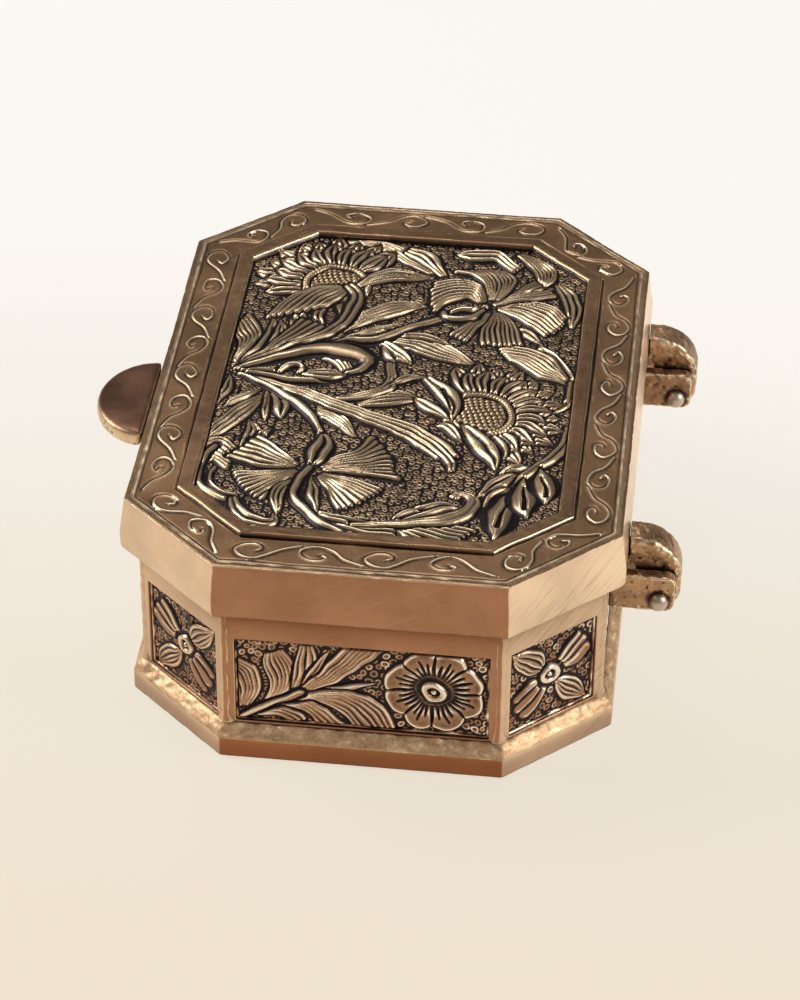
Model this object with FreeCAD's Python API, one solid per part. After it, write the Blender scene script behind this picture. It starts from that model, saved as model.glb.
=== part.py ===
import FreeCAD, Part
import math
import os

# Betel-leaf box of cast brass: an eight-sided body on a flared foot, with a hinged lid.
# All lengths are millimetres. X runs along the length, -Y is the thumb-tab side,
# +Y is the hinge side, and Z is up from the surface that the foot stands on.

# Plan of the lid's top edge, which every other outline is offset from
lid_length = 132.0
lid_width = 100.0
corner_cut_along = 19.0
corner_cut_across = 21.0

# Heights of the body, from the foot up
foot_face_height = 5.6
foot_slope_rise = 2.0
side_height = 29.1
rim_band_height = 7.2
sill_height = 0.6

# Foot: a cast ring with a sloping ledge round the sides
foot_inset = 0.3
foot_edge_bevel = 0.4

# Side plates, mitred at the eight corners
side_inset = 2.6
side_thickness = 2.6
post_width = 2.4
field_depth = 1.0

# Floor: a sheet let into the foot from below, flush with what the box stands on
floor_thickness = 1.5
floor_lap = 2.0
floor_clearance = 0.05

# Lid
lid_height = 13.0
lid_gap = 0.3
skirt_thickness = 4.4
skirt_lean = 1.0
skirt_lean_height = 8.0
skirt_edge_bevel = 0.4
skirt_foot_tuck = 1.5
skirt_foot_rise = 1.6
lid_border_thickness = 2.4
relief_inset = 12.0
relief_thickness = 1.6
relief_clearance = 0.05
relief_ground_depth = 0.85
frame_inset = 10.2
frame_width = 3.1
frame_height = 0.6

# Thumb tab on the long side away from the hinges
tab_length = 26.4
tab_thickness = 4.2
tab_drop = 0.9
tab_shift = 11.0
tab_top_round = 0.5
tab_foot_round = 1.2

# Hinges: two ears on the body, one lug on the lid, and a headed pin through them
hinge_end_distance = 31.0
pin_reach = 7.5
pin_drop = 7.2
pin_diameter = 2.6
pin_fit = 0.02
pin_running_clearance = 0.08
pin_head_diameter = 4.2
pin_head_height = 1.7
pin_tail_diameter = 3.4
pin_tail_height = 0.7
ear_thickness = 3.0
ear_above_pin = 6.0
ear_below_pin = 2.6
ear_beyond_pin = 3.3
ear_top_round = 1.8
ear_foot_round = 2.2
lug_width = 7.0
lug_side_play = 0.3
lug_eye_radius = 4.3
lug_rise = 5.6
lug_arch_radius = 9.0
lug_neck = 2.0
lug_bevel = 0.7

# Length by which a cut runs past what it cuts
overrun = 1.0

# Middle of a quarter turn, as a share of its radius
turn_share = math.sqrt(0.5)

# Where the rounding at the skirt's foot changes slope, as a share of its rise and its tuck
skirt_turn_share = 0.33

# Leaves, petals and stalks of the lid: root, belly and tip as shares of the panel's half
# length and half width, then half the breadth as a share of its half width
leaf_shares = [
    # Along the edges of the panel
    ((-0.97, -0.60), (-0.96, -0.22), (-0.78, 0.08), 0.07),
    ((-0.67, 0.67), (-0.83, 0.75), (-0.97, 0.62), 0.08),
    ((-0.77, 0.80), (-0.65, 0.90), (-0.48, 0.93), 0.05),
    ((-0.02, -0.97), (-0.21, -0.86), (-0.39, -0.98), 0.06),
    ((-0.11, -0.83), (-0.25, -0.78), (-0.39, -0.81), 0.05),
    ((-0.29, 0.52), (-0.22, 0.76), (-0.06, 0.94), 0.11),
    ((0.66, -0.94), (0.55, -0.94), (0.43, -0.89), 0.08),
    # Leaves beside the two stalks that run up to the sunflower and the iris
    ((-0.63, -0.34), (-0.59, -0.60), (-0.37, -0.84), 0.11),
    ((-0.65, -0.33), (-0.76, -0.14), (-0.72, 0.11), 0.07),
    ((-0.36, -0.35), (-0.45, -0.16), (-0.55, 0.04), 0.09),
    ((-0.27, -0.37), (-0.32, -0.14), (-0.35, 0.07), 0.055),
    ((-0.27, -0.09), (-0.24, 0.11), (-0.15, 0.39), 0.065),
    ((-0.28, -0.17), (-0.21, -0.05), (-0.13, 0.07), 0.05),
    # Those two stalks, the cupped leaf and the bud
    ((0.00, -0.95), (-0.32, -0.54), (-0.63, -0.36), 0.03),
    ((0.00, -0.94), (-0.25, -0.38), (-0.47, 0.19), 0.035),
    ((-0.02, -0.93), (-0.16, -0.54), (-0.15, -0.22), 0.045),
    ((0.00, -0.84), (0.01, -0.57), (-0.01, -0.29), 0.06),
    # Iris
    ((-0.53, 0.48), (-0.42, 0.52), (-0.28, 0.56), 0.12),
    ((-0.51, 0.44), (-0.43, 0.37), (-0.32, 0.33), 0.07),
    ((-0.57, 0.49), (-0.54, 0.68), (-0.46, 0.88), 0.135),
    ((-0.60, 0.47), (-0.65, 0.64), (-0.71, 0.82), 0.05),
    ((-0.60, 0.45), (-0.72, 0.46), (-0.84, 0.35), 0.125),
    ((-0.58, 0.43), (-0.63, 0.25), (-0.57, 0.07), 0.12),
    # Leaves between the iris and the lower sunflower
    ((-0.06, 0.08), (0.02, 0.29), (0.24, 0.32), 0.075),
    ((0.16, -0.22), (0.12, -0.04), (0.10, 0.14), 0.065),
    ((0.13, -0.35), (0.07, -0.11), (-0.11, -0.03), 0.03),
    # Thick stalk with its curl and leaves
    ((0.01, -0.94), (0.24, -0.15), (0.49, 0.37), 0.06),
    ((0.34, 0.16), (0.47, 0.34), (0.63, 0.33), 0.08),
    ((0.02, -0.92), (0.17, -0.52), (0.43, -0.37), 0.025),
    ((0.10, -0.74), (0.20, -0.68), (0.33, -0.64), 0.05),
    ((0.11, -0.77), (0.28, -0.86), (0.50, -0.97), 0.065),
    ((0.21, -0.42), (0.25, -0.29), (0.36, -0.16), 0.045),
    ((0.24, 0.34), (0.35, 0.50), (0.53, 0.62), 0.065),
    # Open flower
    ((0.57, -0.33), (0.50, -0.17), (0.39, -0.02), 0.10),
    ((0.60, -0.33), (0.63, -0.11), (0.66, 0.12), 0.09),
    ((0.56, -0.46), (0.49, -0.56), (0.37, -0.68), 0.07),
    ((0.58, -0.49), (0.55, -0.65), (0.52, -0.83), 0.085),
    ((0.62, -0.49), (0.70, -0.64), (0.77, -0.77), 0.14),
    ((0.65, -0.46), (0.76, -0.53), (0.88, -0.56), 0.07),
    ((0.63, -0.33), (0.73, -0.19), (0.81, -0.04), 0.145),
    ((0.37, -0.37), (0.47, -0.36), (0.60, -0.39), 0.08),
    # Ribbon, curl and fan at the foot of the panel
    ((0.61, -0.41), (0.83, -0.40), (0.97, -0.11), 0.03),
    ((0.85, -0.35), (0.95, -0.12), (0.98, 0.16), 0.06),
    ((0.92, -0.08), (0.91, 0.25), (0.72, 0.53), 0.035),
    ((0.78, 0.45), (0.81, 0.29), (0.89, 0.14), 0.06),
    ((0.92, 0.19), (0.90, 0.38), (0.95, 0.56), 0.07),
    ((0.55, -0.91), (0.71, -0.96), (0.84, -0.77), 0.03),
    ((0.83, -0.76), (0.95, -0.66), (0.89, -0.53), 0.04),
    # Drop-shaped leaves on their stalk
    ((0.69, 0.71), (0.82, 0.70), (0.95, 0.67), 0.07),
    ((0.60, 0.77), (0.70, 0.80), (0.82, 0.83), 0.07),
    ((0.50, 0.87), (0.61, 0.90), (0.73, 0.91), 0.065),
    ((0.49, 0.80), (0.54, 0.68), (0.56, 0.57), 0.045),
    ((0.55, 0.75), (0.62, 0.63), (0.68, 0.52), 0.045),
    ((0.23, 0.98), (0.49, 0.88), (0.71, 0.70), 0.025),
]

# Sunflowers: centre as above, then the first and the last petal as shares of a turn
sunflower_shares = [
    ((-0.63, -0.46), -0.21, -0.62),
    ((0.17, 0.47), 0.49, 0.09),
]
sunflower_petals = 9

# Radius of the disc, root, reach and half breadth of the petals, as shares of the panel's half width
disc_share = 0.23
petal_root_share = 0.16
petal_reach_share = 0.46
petal_breadth_share = 0.08

# Derived levels and distances
side_foot = foot_face_height + foot_slope_rise
side_top = side_foot + side_height
field_foot = side_foot + sill_height
field_top = side_top - rim_band_height
lid_foot = side_top + lid_gap
lid_top = lid_foot + lid_height
half_length = lid_length / 2
half_width = lid_width / 2
pin_y = half_width + pin_reach
pin_z = lid_foot - pin_drop
pin_radius = pin_diameter / 2
side_face = half_width - side_inset
inside_inset = side_inset + side_thickness
panel_inset = frame_inset + frame_width
panel_half_length = half_length - panel_inset
panel_half_width = half_width - panel_inset
relief_ground = lid_top - relief_ground_depth

# The tab stands out as far in front as the hinges do behind
tab_reach = pin_reach + lug_eye_radius

side_names = [
    "right_end_plate",
    "back_right_corner_plate",
    "back_side_plate",
    "back_left_corner_plate",
    "left_end_plate",
    "front_left_corner_plate",
    "front_side_plate",
    "front_right_corner_plate",
]

os.makedirs("parts", exist_ok=True)


def save(shape, node):
    """Write one piece to its own file."""
    shape.exportStep("parts/" + node + ".step")


def outline(offset, level):
    """Corners of the eight-sided plan, moved outwards by offset, at one level."""
    cut_length = math.hypot(corner_cut_along, corner_cut_across)
    across = corner_cut_across * half_length
    along = corner_cut_along * (half_width - corner_cut_across)
    corner_line = across + along + offset * cut_length
    end_x = half_length + offset
    side_y = half_width + offset
    end_y = (corner_line - corner_cut_across * end_x) / corner_cut_along
    side_x = (corner_line - corner_cut_along * side_y) / corner_cut_across
    corners = [
        (end_x, -end_y),
        (end_x, end_y),
        (side_x, side_y),
        (-side_x, side_y),
        (-end_x, end_y),
        (-end_x, -end_y),
        (-side_x, -side_y),
        (side_x, -side_y),
    ]
    return [FreeCAD.Vector(x, y, level) for x, y in corners]


def closed_wire(points):
    """Straight-sided closed wire through the points."""
    return Part.makePolygon(points + points[:1])


def stack(sections):
    """Solid with flat sides through outlines given as (offset, level) pairs, lowest first."""
    rings = [outline(offset, level) for offset, level in sections]
    count = len(rings[0])
    faces = [Part.Face(closed_wire(rings[0][::-1])), Part.Face(closed_wire(rings[-1]))]
    for lower, upper in zip(rings, rings[1:]):
        for index in range(count):
            following = (index + 1) % count
            sides = [lower[index], lower[following], upper[following], upper[index]]
            faces.append(Part.Face(closed_wire(sides)))
    shell = Part.Shell(faces)
    shell.sewShape()
    return Part.Solid(shell)


def prism(points, height):
    """Upright solid on a flat outline."""
    return Part.Face(closed_wire(points)).extrude(FreeCAD.Vector(0, 0, height))


def across_hinge(y, z, x=0.0):
    """Point of a hinge profile, which lies square to the pin."""
    return FreeCAD.Vector(x, y, z)


def foot_ring():
    """Eight-sided foot with an upright face, a sloping ledge and a rebate for the floor."""
    outer = stack([
        (-foot_inset - foot_edge_bevel, 0.0),
        (-foot_inset, foot_edge_bevel),
        (-foot_inset, foot_face_height - foot_edge_bevel),
        (-foot_inset - foot_edge_bevel, foot_face_height),
        (-side_inset, side_foot),
    ])
    inside = prism(outline(-inside_inset, -overrun), side_foot + overrun + overrun)
    rebate = prism(outline(floor_lap - inside_inset, -overrun), floor_thickness + overrun)
    return outer.cut(inside).cut(rebate)


def floor_plate():
    """Flat sheet that closes the foot from below."""
    offset = floor_lap - inside_inset - floor_clearance
    return prism(outline(offset, 0.0), floor_thickness)


def side_plate(index):
    """One side of the body: a mitred plate with a sunk field for its relief."""
    outer = outline(-side_inset, side_foot)
    inner = outline(-inside_inset, side_foot)
    following = (index + 1) % len(outer)
    plan = [outer[index], outer[following], inner[following], inner[index]]
    plate = prism(plan, side_height)

    along = (outer[following] - outer[index]).normalize()
    outward = FreeCAD.Vector(along.y, -along.x, 0)
    raised = FreeCAD.Vector(0, 0, field_foot - side_foot)
    start = outer[index] + along * post_width + raised
    end = outer[following] - along * post_width + raised
    field_plan = [
        start + outward * overrun,
        end + outward * overrun,
        end - outward * field_depth,
        start - outward * field_depth,
    ]
    return plate.cut(prism(field_plan, field_top - field_foot))


def lid_envelope():
    """Outside of the lid: sides that lean out on the way down and tuck in at the foot."""
    lean_foot = lid_top - skirt_lean_height
    tuck_top = lid_foot + skirt_foot_rise
    tuck_middle = lid_foot + skirt_foot_rise * skirt_turn_share
    return stack([
        (skirt_lean - skirt_foot_tuck, lid_foot),
        (skirt_lean - skirt_foot_tuck * skirt_turn_share, tuck_middle),
        (skirt_lean, tuck_top),
        (skirt_lean, lean_foot),
        (0.0, lid_top - skirt_edge_bevel),
        (-skirt_edge_bevel, lid_top),
    ])


def lid_shell():
    """Cast lid: border and skirt, hollow below, with a pocket for the relief plate."""
    depth = lid_height - lid_border_thickness
    hollow = prism(outline(-skirt_thickness, lid_foot - overrun), depth + overrun)
    pocket_foot = lid_top - relief_thickness
    pocket = prism(outline(-relief_inset, pocket_foot), relief_thickness + overrun)
    return lid_envelope().cut(hollow).cut(pocket)


def panel_point(x_share, y_share):
    """Point of the panel, just below the ground of its relief."""
    level = relief_ground - overrun
    return FreeCAD.Vector(x_share * panel_half_length, y_share * panel_half_width, level)


def leaf(root, belly, tip, breadth_share):
    """Flat leaf between two arcs that meet at its root and at its tip."""
    run = (tip - root).normalize()
    across = FreeCAD.Vector(-run.y, run.x, 0) * panel_half_width * breadth_share
    edges = [
        Part.Arc(root, belly + across, tip).toShape(),
        Part.Arc(tip, belly - across, root).toShape(),
    ]
    return Part.Face(Part.Wire(edges))


def sunflower(centre, first_turn, last_turn):
    """Flat disc with petals spread evenly from the first turn to the last."""
    radius = panel_half_width * disc_share
    root_radius = panel_half_width * petal_root_share
    reach = panel_half_width * petal_reach_share
    disc = Part.Face(Part.Wire(Part.Circle(centre, FreeCAD.Vector(0, 0, 1), radius).toShape()))
    parts = [disc]
    for index in range(sunflower_petals):
        share = index / (sunflower_petals - 1)
        angle = 2 * math.pi * (first_turn + (last_turn - first_turn) * share)
        out = FreeCAD.Vector(math.cos(angle), math.sin(angle), 0)
        root, tip = centre + out * root_radius, centre + out * reach
        parts.append(leaf(root, (root + tip) / 2, tip, petal_breadth_share))
    return parts


def lid_relief_plate():
    """Plate let into the lid's pocket, its flowers and leaves left standing on a sunk ground."""
    inset = relief_inset + relief_clearance
    plate = prism(outline(-inset, lid_top - relief_thickness), relief_thickness)
    flat_shapes = []
    for root, belly, tip, breadth_share in leaf_shares:
        flat_shapes.append(leaf(panel_point(*root), panel_point(*belly), panel_point(*tip), breadth_share))
    for centre, first_turn, last_turn in sunflower_shares:
        flat_shapes.extend(sunflower(panel_point(*centre), first_turn, last_turn))
    rise = FreeCAD.Vector(0, 0, overrun + relief_ground_depth + overrun + overrun)
    raised = [shape.extrude(rise) for shape in flat_shapes]
    sunk = prism(outline(-panel_inset, relief_ground), relief_ground_depth + overrun)
    return plate.cut(sunk.cut(raised))


def lid_panel_frame():
    """Flat strip round the relief, lapped over the edge of its plate."""
    strip = prism(outline(-frame_inset, lid_top), frame_height)
    opening = prism(outline(-panel_inset, lid_top - overrun),
                    frame_height + overrun + overrun)
    return strip.cut(opening)


def thumb_tab():
    """Half-round lug that lifts the lid, seated against the leaning skirt."""
    centre = FreeCAD.Vector(tab_shift, -half_width, lid_top - tab_drop - tab_thickness)
    tips = [centre + FreeCAD.Vector(tab_length / 2, 0, 0), centre - FreeCAD.Vector(0, tab_reach, 0)]
    tips.sort(key=centre.distanceToPoint, reverse=True)
    plan = Part.Ellipse(tips[0], tips[1], centre)
    disc = Part.Face(Part.Wire(plan.toShape())).extrude(FreeCAD.Vector(0, 0, tab_thickness))
    top_edges = [e for e in disc.Edges if e.BoundBox.ZMin > centre.z + tab_thickness / 2]
    disc = disc.makeFillet(tab_top_round, top_edges)
    foot_edges = [e for e in disc.Edges if e.BoundBox.ZMax < centre.z + tab_foot_round / 2]
    disc = disc.makeFillet(tab_foot_round, foot_edges)
    inner_half = Part.makeBox(tab_length + overrun, tab_reach + overrun,
                              tab_thickness + overrun + overrun)
    corner = centre - FreeCAD.Vector(tab_length / 2 + overrun / 2, 0, overrun)
    inner_half.translate(corner)
    return disc.cut(inner_half).cut(lid_envelope())


def round_free_edge(ear, radius, level):
    """Round the edge across the ear's free end that lies at one level."""
    margin = radius / 2
    edges = []
    for edge in ear.Edges:
        box = edge.BoundBox
        runs_across = box.XLength > ear_thickness / 2
        at_level = abs(box.ZMin - level) < margin and abs(box.ZMax - level) < margin
        if runs_across and at_level and box.YMin > pin_y:
            edges.append(edge)
    return ear.makeFillet(radius, edges)


def hinge_ear(left_face):
    """Cast ear on the back of the body, rounded at its free end and bored for the pin."""
    foot = pin_z - ear_below_pin
    height = ear_below_pin + ear_above_pin
    free_end = pin_y + ear_beyond_pin
    ear = Part.makeBox(ear_thickness, free_end - side_face, height)
    ear.translate(across_hinge(side_face, foot, left_face))
    ear = round_free_edge(ear, ear_top_round, foot + height)
    ear = round_free_edge(ear, ear_foot_round, foot)
    bore = Part.makeCylinder(pin_radius + pin_fit, ear_thickness + overrun + overrun,
                             across_hinge(pin_y, pin_z, left_face - overrun),
                             FreeCAD.Vector(1, 0, 0))
    return ear.cut(bore)


def lug_profile(x, inset):
    """Outline of the lug square to the pin, its back drawn in by inset."""
    arch_top = lid_foot + lug_rise - inset
    arch_radius = lug_arch_radius - inset
    eye_radius = lug_eye_radius - inset
    back = pin_y + eye_radius
    shoulder_z = arch_top - arch_radius
    arch_centre_y = back - arch_radius
    half_turn = arch_radius * turn_share

    root_top = across_hinge(half_width, arch_top, x)
    arch_start = across_hinge(arch_centre_y, arch_top, x)
    arch_middle = across_hinge(arch_centre_y + half_turn, shoulder_z + half_turn, x)
    shoulder = across_hinge(back, shoulder_z, x)
    eye_back = across_hinge(back, pin_z, x)
    eye_foot = across_hinge(pin_y, pin_z - eye_radius, x)
    eye_front = across_hinge(pin_y - eye_radius, pin_z, x)
    neck = across_hinge(half_width + lug_neck, lid_foot, x)
    root_foot = across_hinge(half_width, lid_foot, x)
    return Part.Wire([
        Part.makeLine(root_top, arch_start),
        Part.Arc(arch_start, arch_middle, shoulder).toShape(),
        Part.makeLine(shoulder, eye_back),
        Part.Arc(eye_back, eye_foot, eye_front).toShape(),
        Part.makeLine(eye_front, neck),
        Part.makeLine(neck, root_foot),
        Part.makeLine(root_foot, root_top),
    ])


def hinge_lug(middle):
    """Lug on the lid that arches down between the ears and turns on the pin."""
    left = middle - lug_width / 2
    right = middle + lug_width / 2
    lug = Part.makeLoft([
        lug_profile(left, lug_bevel),
        lug_profile(left + lug_bevel, 0.0),
        lug_profile(right - lug_bevel, 0.0),
        lug_profile(right, lug_bevel),
    ], True, True)
    bore = Part.makeCylinder(pin_radius + pin_running_clearance, lug_width + overrun + overrun,
                             across_hinge(pin_y, pin_z, left - overrun),
                             FreeCAD.Vector(1, 0, 0))
    return lug.cut(bore).cut(lid_envelope())


def hinge_pin(left_face, right_face):
    """Pin with a domed head on the right and a peened tail on the left."""
    axis_start = across_hinge(pin_y, pin_z, left_face - pin_tail_height)
    head_radius = pin_head_diameter / 2
    tail_radius = pin_tail_diameter / 2

    def at(x, radius):
        return across_hinge(pin_y, pin_z + radius, x)

    crown = at(right_face + pin_head_height, 0.0)
    dome_turn = at(right_face + pin_head_height * turn_share, head_radius * turn_share)
    head_edge = at(right_face, head_radius)
    half_section = Part.Wire([
        Part.Arc(crown, dome_turn, head_edge).toShape(),
        Part.makeLine(head_edge, at(right_face, pin_radius)),
        Part.makeLine(at(right_face, pin_radius), at(left_face, pin_radius)),
        Part.makeLine(at(left_face, pin_radius), at(left_face, tail_radius)),
        Part.makeLine(at(left_face, tail_radius), at(axis_start.x, pin_radius)),
        Part.makeLine(at(axis_start.x, pin_radius), axis_start),
        Part.makeLine(axis_start, crown),
    ])
    turned = Part.Face(half_section).revolve(axis_start, FreeCAD.Vector(1, 0, 0), 360)
    return turned


save(foot_ring(), "foot_ring")
save(floor_plate(), "floor_plate")
for index, name in enumerate(side_names):
    save(side_plate(index), name)

save(lid_shell(), "lid_shell")
save(lid_relief_plate(), "lid_relief_plate")
save(lid_panel_frame(), "lid_panel_frame")
save(thumb_tab(), "thumb_tab")

# Each hinge lies about its own middle: left ear, lug, right ear
ear_offset = lug_width / 2 + lug_side_play
hinge_middle = half_length - hinge_end_distance
for side, middle in (("left", -hinge_middle), ("right", hinge_middle)):
    left_ear_face = middle - ear_offset - ear_thickness
    right_ear_face = middle + ear_offset
    save(hinge_ear(left_ear_face), side + "_hinge_left_ear")
    save(hinge_ear(right_ear_face), side + "_hinge_right_ear")
    save(hinge_lug(middle), side + "_hinge_lug")
    save(hinge_pin(left_ear_face, right_ear_face + ear_thickness), side + "_hinge_pin")
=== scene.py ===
import math

import bpy
import numpy as np
from bpy.props import FloatProperty, FloatVectorProperty, PointerProperty
from mathutils import Matrix, Vector


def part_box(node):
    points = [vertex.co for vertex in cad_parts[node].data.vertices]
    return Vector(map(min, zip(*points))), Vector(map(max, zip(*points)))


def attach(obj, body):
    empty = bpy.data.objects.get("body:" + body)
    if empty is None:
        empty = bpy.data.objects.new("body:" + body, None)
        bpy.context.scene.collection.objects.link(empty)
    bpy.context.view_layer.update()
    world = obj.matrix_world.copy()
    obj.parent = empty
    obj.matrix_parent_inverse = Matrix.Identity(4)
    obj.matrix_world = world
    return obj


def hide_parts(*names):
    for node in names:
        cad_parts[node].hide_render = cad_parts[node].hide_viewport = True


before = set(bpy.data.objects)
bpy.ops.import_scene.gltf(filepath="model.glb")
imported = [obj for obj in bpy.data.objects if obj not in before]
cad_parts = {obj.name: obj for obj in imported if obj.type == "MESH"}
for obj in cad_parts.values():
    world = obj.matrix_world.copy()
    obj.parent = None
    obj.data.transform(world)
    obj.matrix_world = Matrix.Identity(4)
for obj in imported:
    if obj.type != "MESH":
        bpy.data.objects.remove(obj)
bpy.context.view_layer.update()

bl_info = {
    "name": "Chased brass betel box",
    "version": (1, 0, 0),
    "blender": (4, 5, 0),
    "location": "3D View > Sidebar > Betel Box",
    "description": "Dresses the packed betel box with chased relief, engraving, cast surfaces and aged brass",
    "category": "Object",
}

MM = 0.001

# Corners cut off the eight-sided plan, and how far each part lies inside the lid's top edge
CUT_ALONG = 19 * MM
CUT_ACROSS = 21 * MM
SKIRT_LEAN = 1.0 * MM
SKIRT_WALL = 4.4 * MM
POCKET_INSET = 12 * MM
STRIP_INSET = 10.2 * MM
STRIP_WIDTH = 3.1 * MM
SIDE_INSET = 2.6 * MM
POST_WIDTH = 2.4 * MM
SEAM = 0.05 * MM

# Heights: the lid's ground, border and hollow below its top, and the sunk fields of the sides
LID_GROUND = 0.85 * MM
BORDER_DEPTH = 0.6 * MM
HOLLOW_DEPTH = 2.4 * MM
FIELD_DEPTH = 1.0 * MM
FIELD_FOOT = 0.6 * MM
FIELD_BAND = 7.2 * MM

# Spacing of the points round the lid's casting, the extra ones near its corners, and the scroll's bare ends
CASTING_STEP = 0.8 * MM
NEAR_CORNERS = (0.2 * MM, 0.45 * MM)
SCROLL_ENDS = 2.2 * MM

# Angles in degrees from which an edge stays sharp
RELIEF_CREASE = 75
BORDER_CREASE = 60
SKIRT_CREASE = 32
STRIP_CREASE = 50
SOLDER_CREASE = 60
FILED_CREASE = 40
CAST_CREASE = 80

# One curl of the scroll: shares of its pitch along the side, and of its reach across it
CURL = ((1.04, 0.95), (0.72, 0.34), (0.50, -0.58), (0.30, -0.98), (0.10, -0.70), (0.02, 0.0), (0.14, 0.62),
        (0.33, 0.72), (0.43, 0.32), (0.35, 0.02))

# Dark strokes of a round flower's petal: turn in degrees, where they start and end, and half their width
STROKES = ((0, 4.3, 9.8, 0.4), (11.5, 4.4, 7.2, 0.42), (22.5, 4.4, 8.3, 0.46), (33.5, 4.4, 7.0, 0.42))

# Floor, and where each lamp hangs and how wide it is, in metres
FLOOR_SIZE = 8
FLOOR_DROP = 0.2 * MM
LAMPS = {
    "key": ((-0.15, -0.85, 0.7), 0.6),
    "fill": ((0.25, 0.95, 0.55), 0.6),
    "back": ((-0.55, -0.2, 1.15), 0.5),
}

# First seed of each random field
RIB_SEED = 11
LID_STRAY_SEED = 1
SCROLL_SEED = 3
LID_BEAD_SEED = 5
LID_GROUND_SEED = 8
BORDER_SEED = 21
SKIRT_SEED = 31
STRIP_SEED = 41
SIDE_STRAY_SEED = 50
SIDE_BEAD_SEED = 60
SIDE_GROUND_SEED = 70
SIDE_EDGE_SEED = 90
HINGE_SEED = 100
TAB_SEED = 130
FOOT_SEED = 140
LEDGE_SEED = 151
SOLDER_SEED = 160

LID_LOW, LID_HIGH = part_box("lid_shell")
PLATE_LOW, PLATE_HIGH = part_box("lid_relief_plate")
STRIP_LOW, STRIP_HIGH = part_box("lid_panel_frame")
HALF_LENGTH = LID_HIGH.x - SKIRT_LEAN
HALF_WIDTH = LID_HIGH.y - SKIRT_LEAN
LID_TOP = LID_HIGH.z
SIDE_NAMES = (
    "right_end_plate",
    "back_right_corner_plate",
    "back_side_plate",
    "back_left_corner_plate",
    "left_end_plate",
    "front_left_corner_plate",
    "front_side_plate",
    "front_right_corner_plate",
)


def length(label, default, about):
    """A size in millimetres that the user can change."""
    size = default * MM
    return FloatProperty(name=label, description=about, default=size, subtype="DISTANCE", unit="LENGTH")


def share(label, default, about):
    """A number from none to all that the user can change."""
    return FloatProperty(name=label, description=about, default=default, min=0, max=1, subtype="FACTOR")


def amount(label, default, about):
    """A plain number that the user can change."""
    return FloatProperty(name=label, description=about, default=default, subtype="NONE", unit="NONE")


def angle(label, degrees, about):
    """An angle that the user can change."""
    turn = math.radians(degrees)
    return FloatProperty(name=label, description=about, default=turn, subtype="ANGLE", unit="ROTATION")


def colour(label, default, about):
    """A colour that the user can change."""
    return FloatVectorProperty(name=label, description=about, default=default, min=0, max=1, subtype="COLOR")


class ChasingSizes(bpy.types.PropertyGroup):
    """Sizes of the chased relief on the lid and the sides."""

    lid_step: length("Lid step", 0.19, "Distance between points of the lid's relief")
    side_step: length("Side step", 0.175, "Distance between points of the side reliefs")
    lid_lift: length("Lid lift", 1.15, "Height of the flowers above the lid's ground")
    side_lift: length("Side lift", 0.9, "Height of the flowers above the ground of the sides")
    edge: length("Edge", 0.42, "Width of the slope down a motif's outline")
    furrow: length("Furrow", 0.5, "Width of the dark line chased round each motif")
    stray: length("Stray", 0.24, "How far the hand strays from an even line")
    bead_pitch: length("Bead pitch", 1.5, "Distance between the ring punches of the ground")
    bead_lift: length("Bead lift", 0.32, "Height of the ring punches")


class EngravingSizes(bpy.types.PropertyGroup):
    """Sizes of the scroll engraved on the lid's border."""

    step_along: length("Step along", 0.27, "Distance between points along the border")
    step_across: length("Step across", 0.19, "Distance between points across the border")
    centre: length("Centre line", 5.9, "Distance of the scroll's middle from the lid's edge")
    reach: length("Reach", 2.5, "How far the scroll swings to each side of its middle")
    pitch: length("Pitch", 11.4, "Length of one curl of the scroll")
    line: length("Line", 0.23, "Half the width of the engraved line")
    burr: length("Burr", 0.17, "Height of the bright lip beside the cut")
    depth: length("Depth", 0.3, "Depth of the cut")
    rim: length("Rim", 1.25, "Distance of the incised outline from the lid's edge")


class CastSizes(bpy.types.PropertyGroup):
    """Sizes of the cast and filed surfaces."""

    fine_voxel: length("Fine voxel", 0.28, "Detail of the hinge and tab castings")
    foot_voxel: length("Foot voxel", 0.45, "Detail of the foot casting")
    pits: length("Pits", 0.22, "Depth of the pits in a rough casting")
    wobble: length("Wobble", 0.16, "How far hand filing strays from a straight face")
    softness: length("Softness", 0.3, "Width of the rounding along filed edges")


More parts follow.
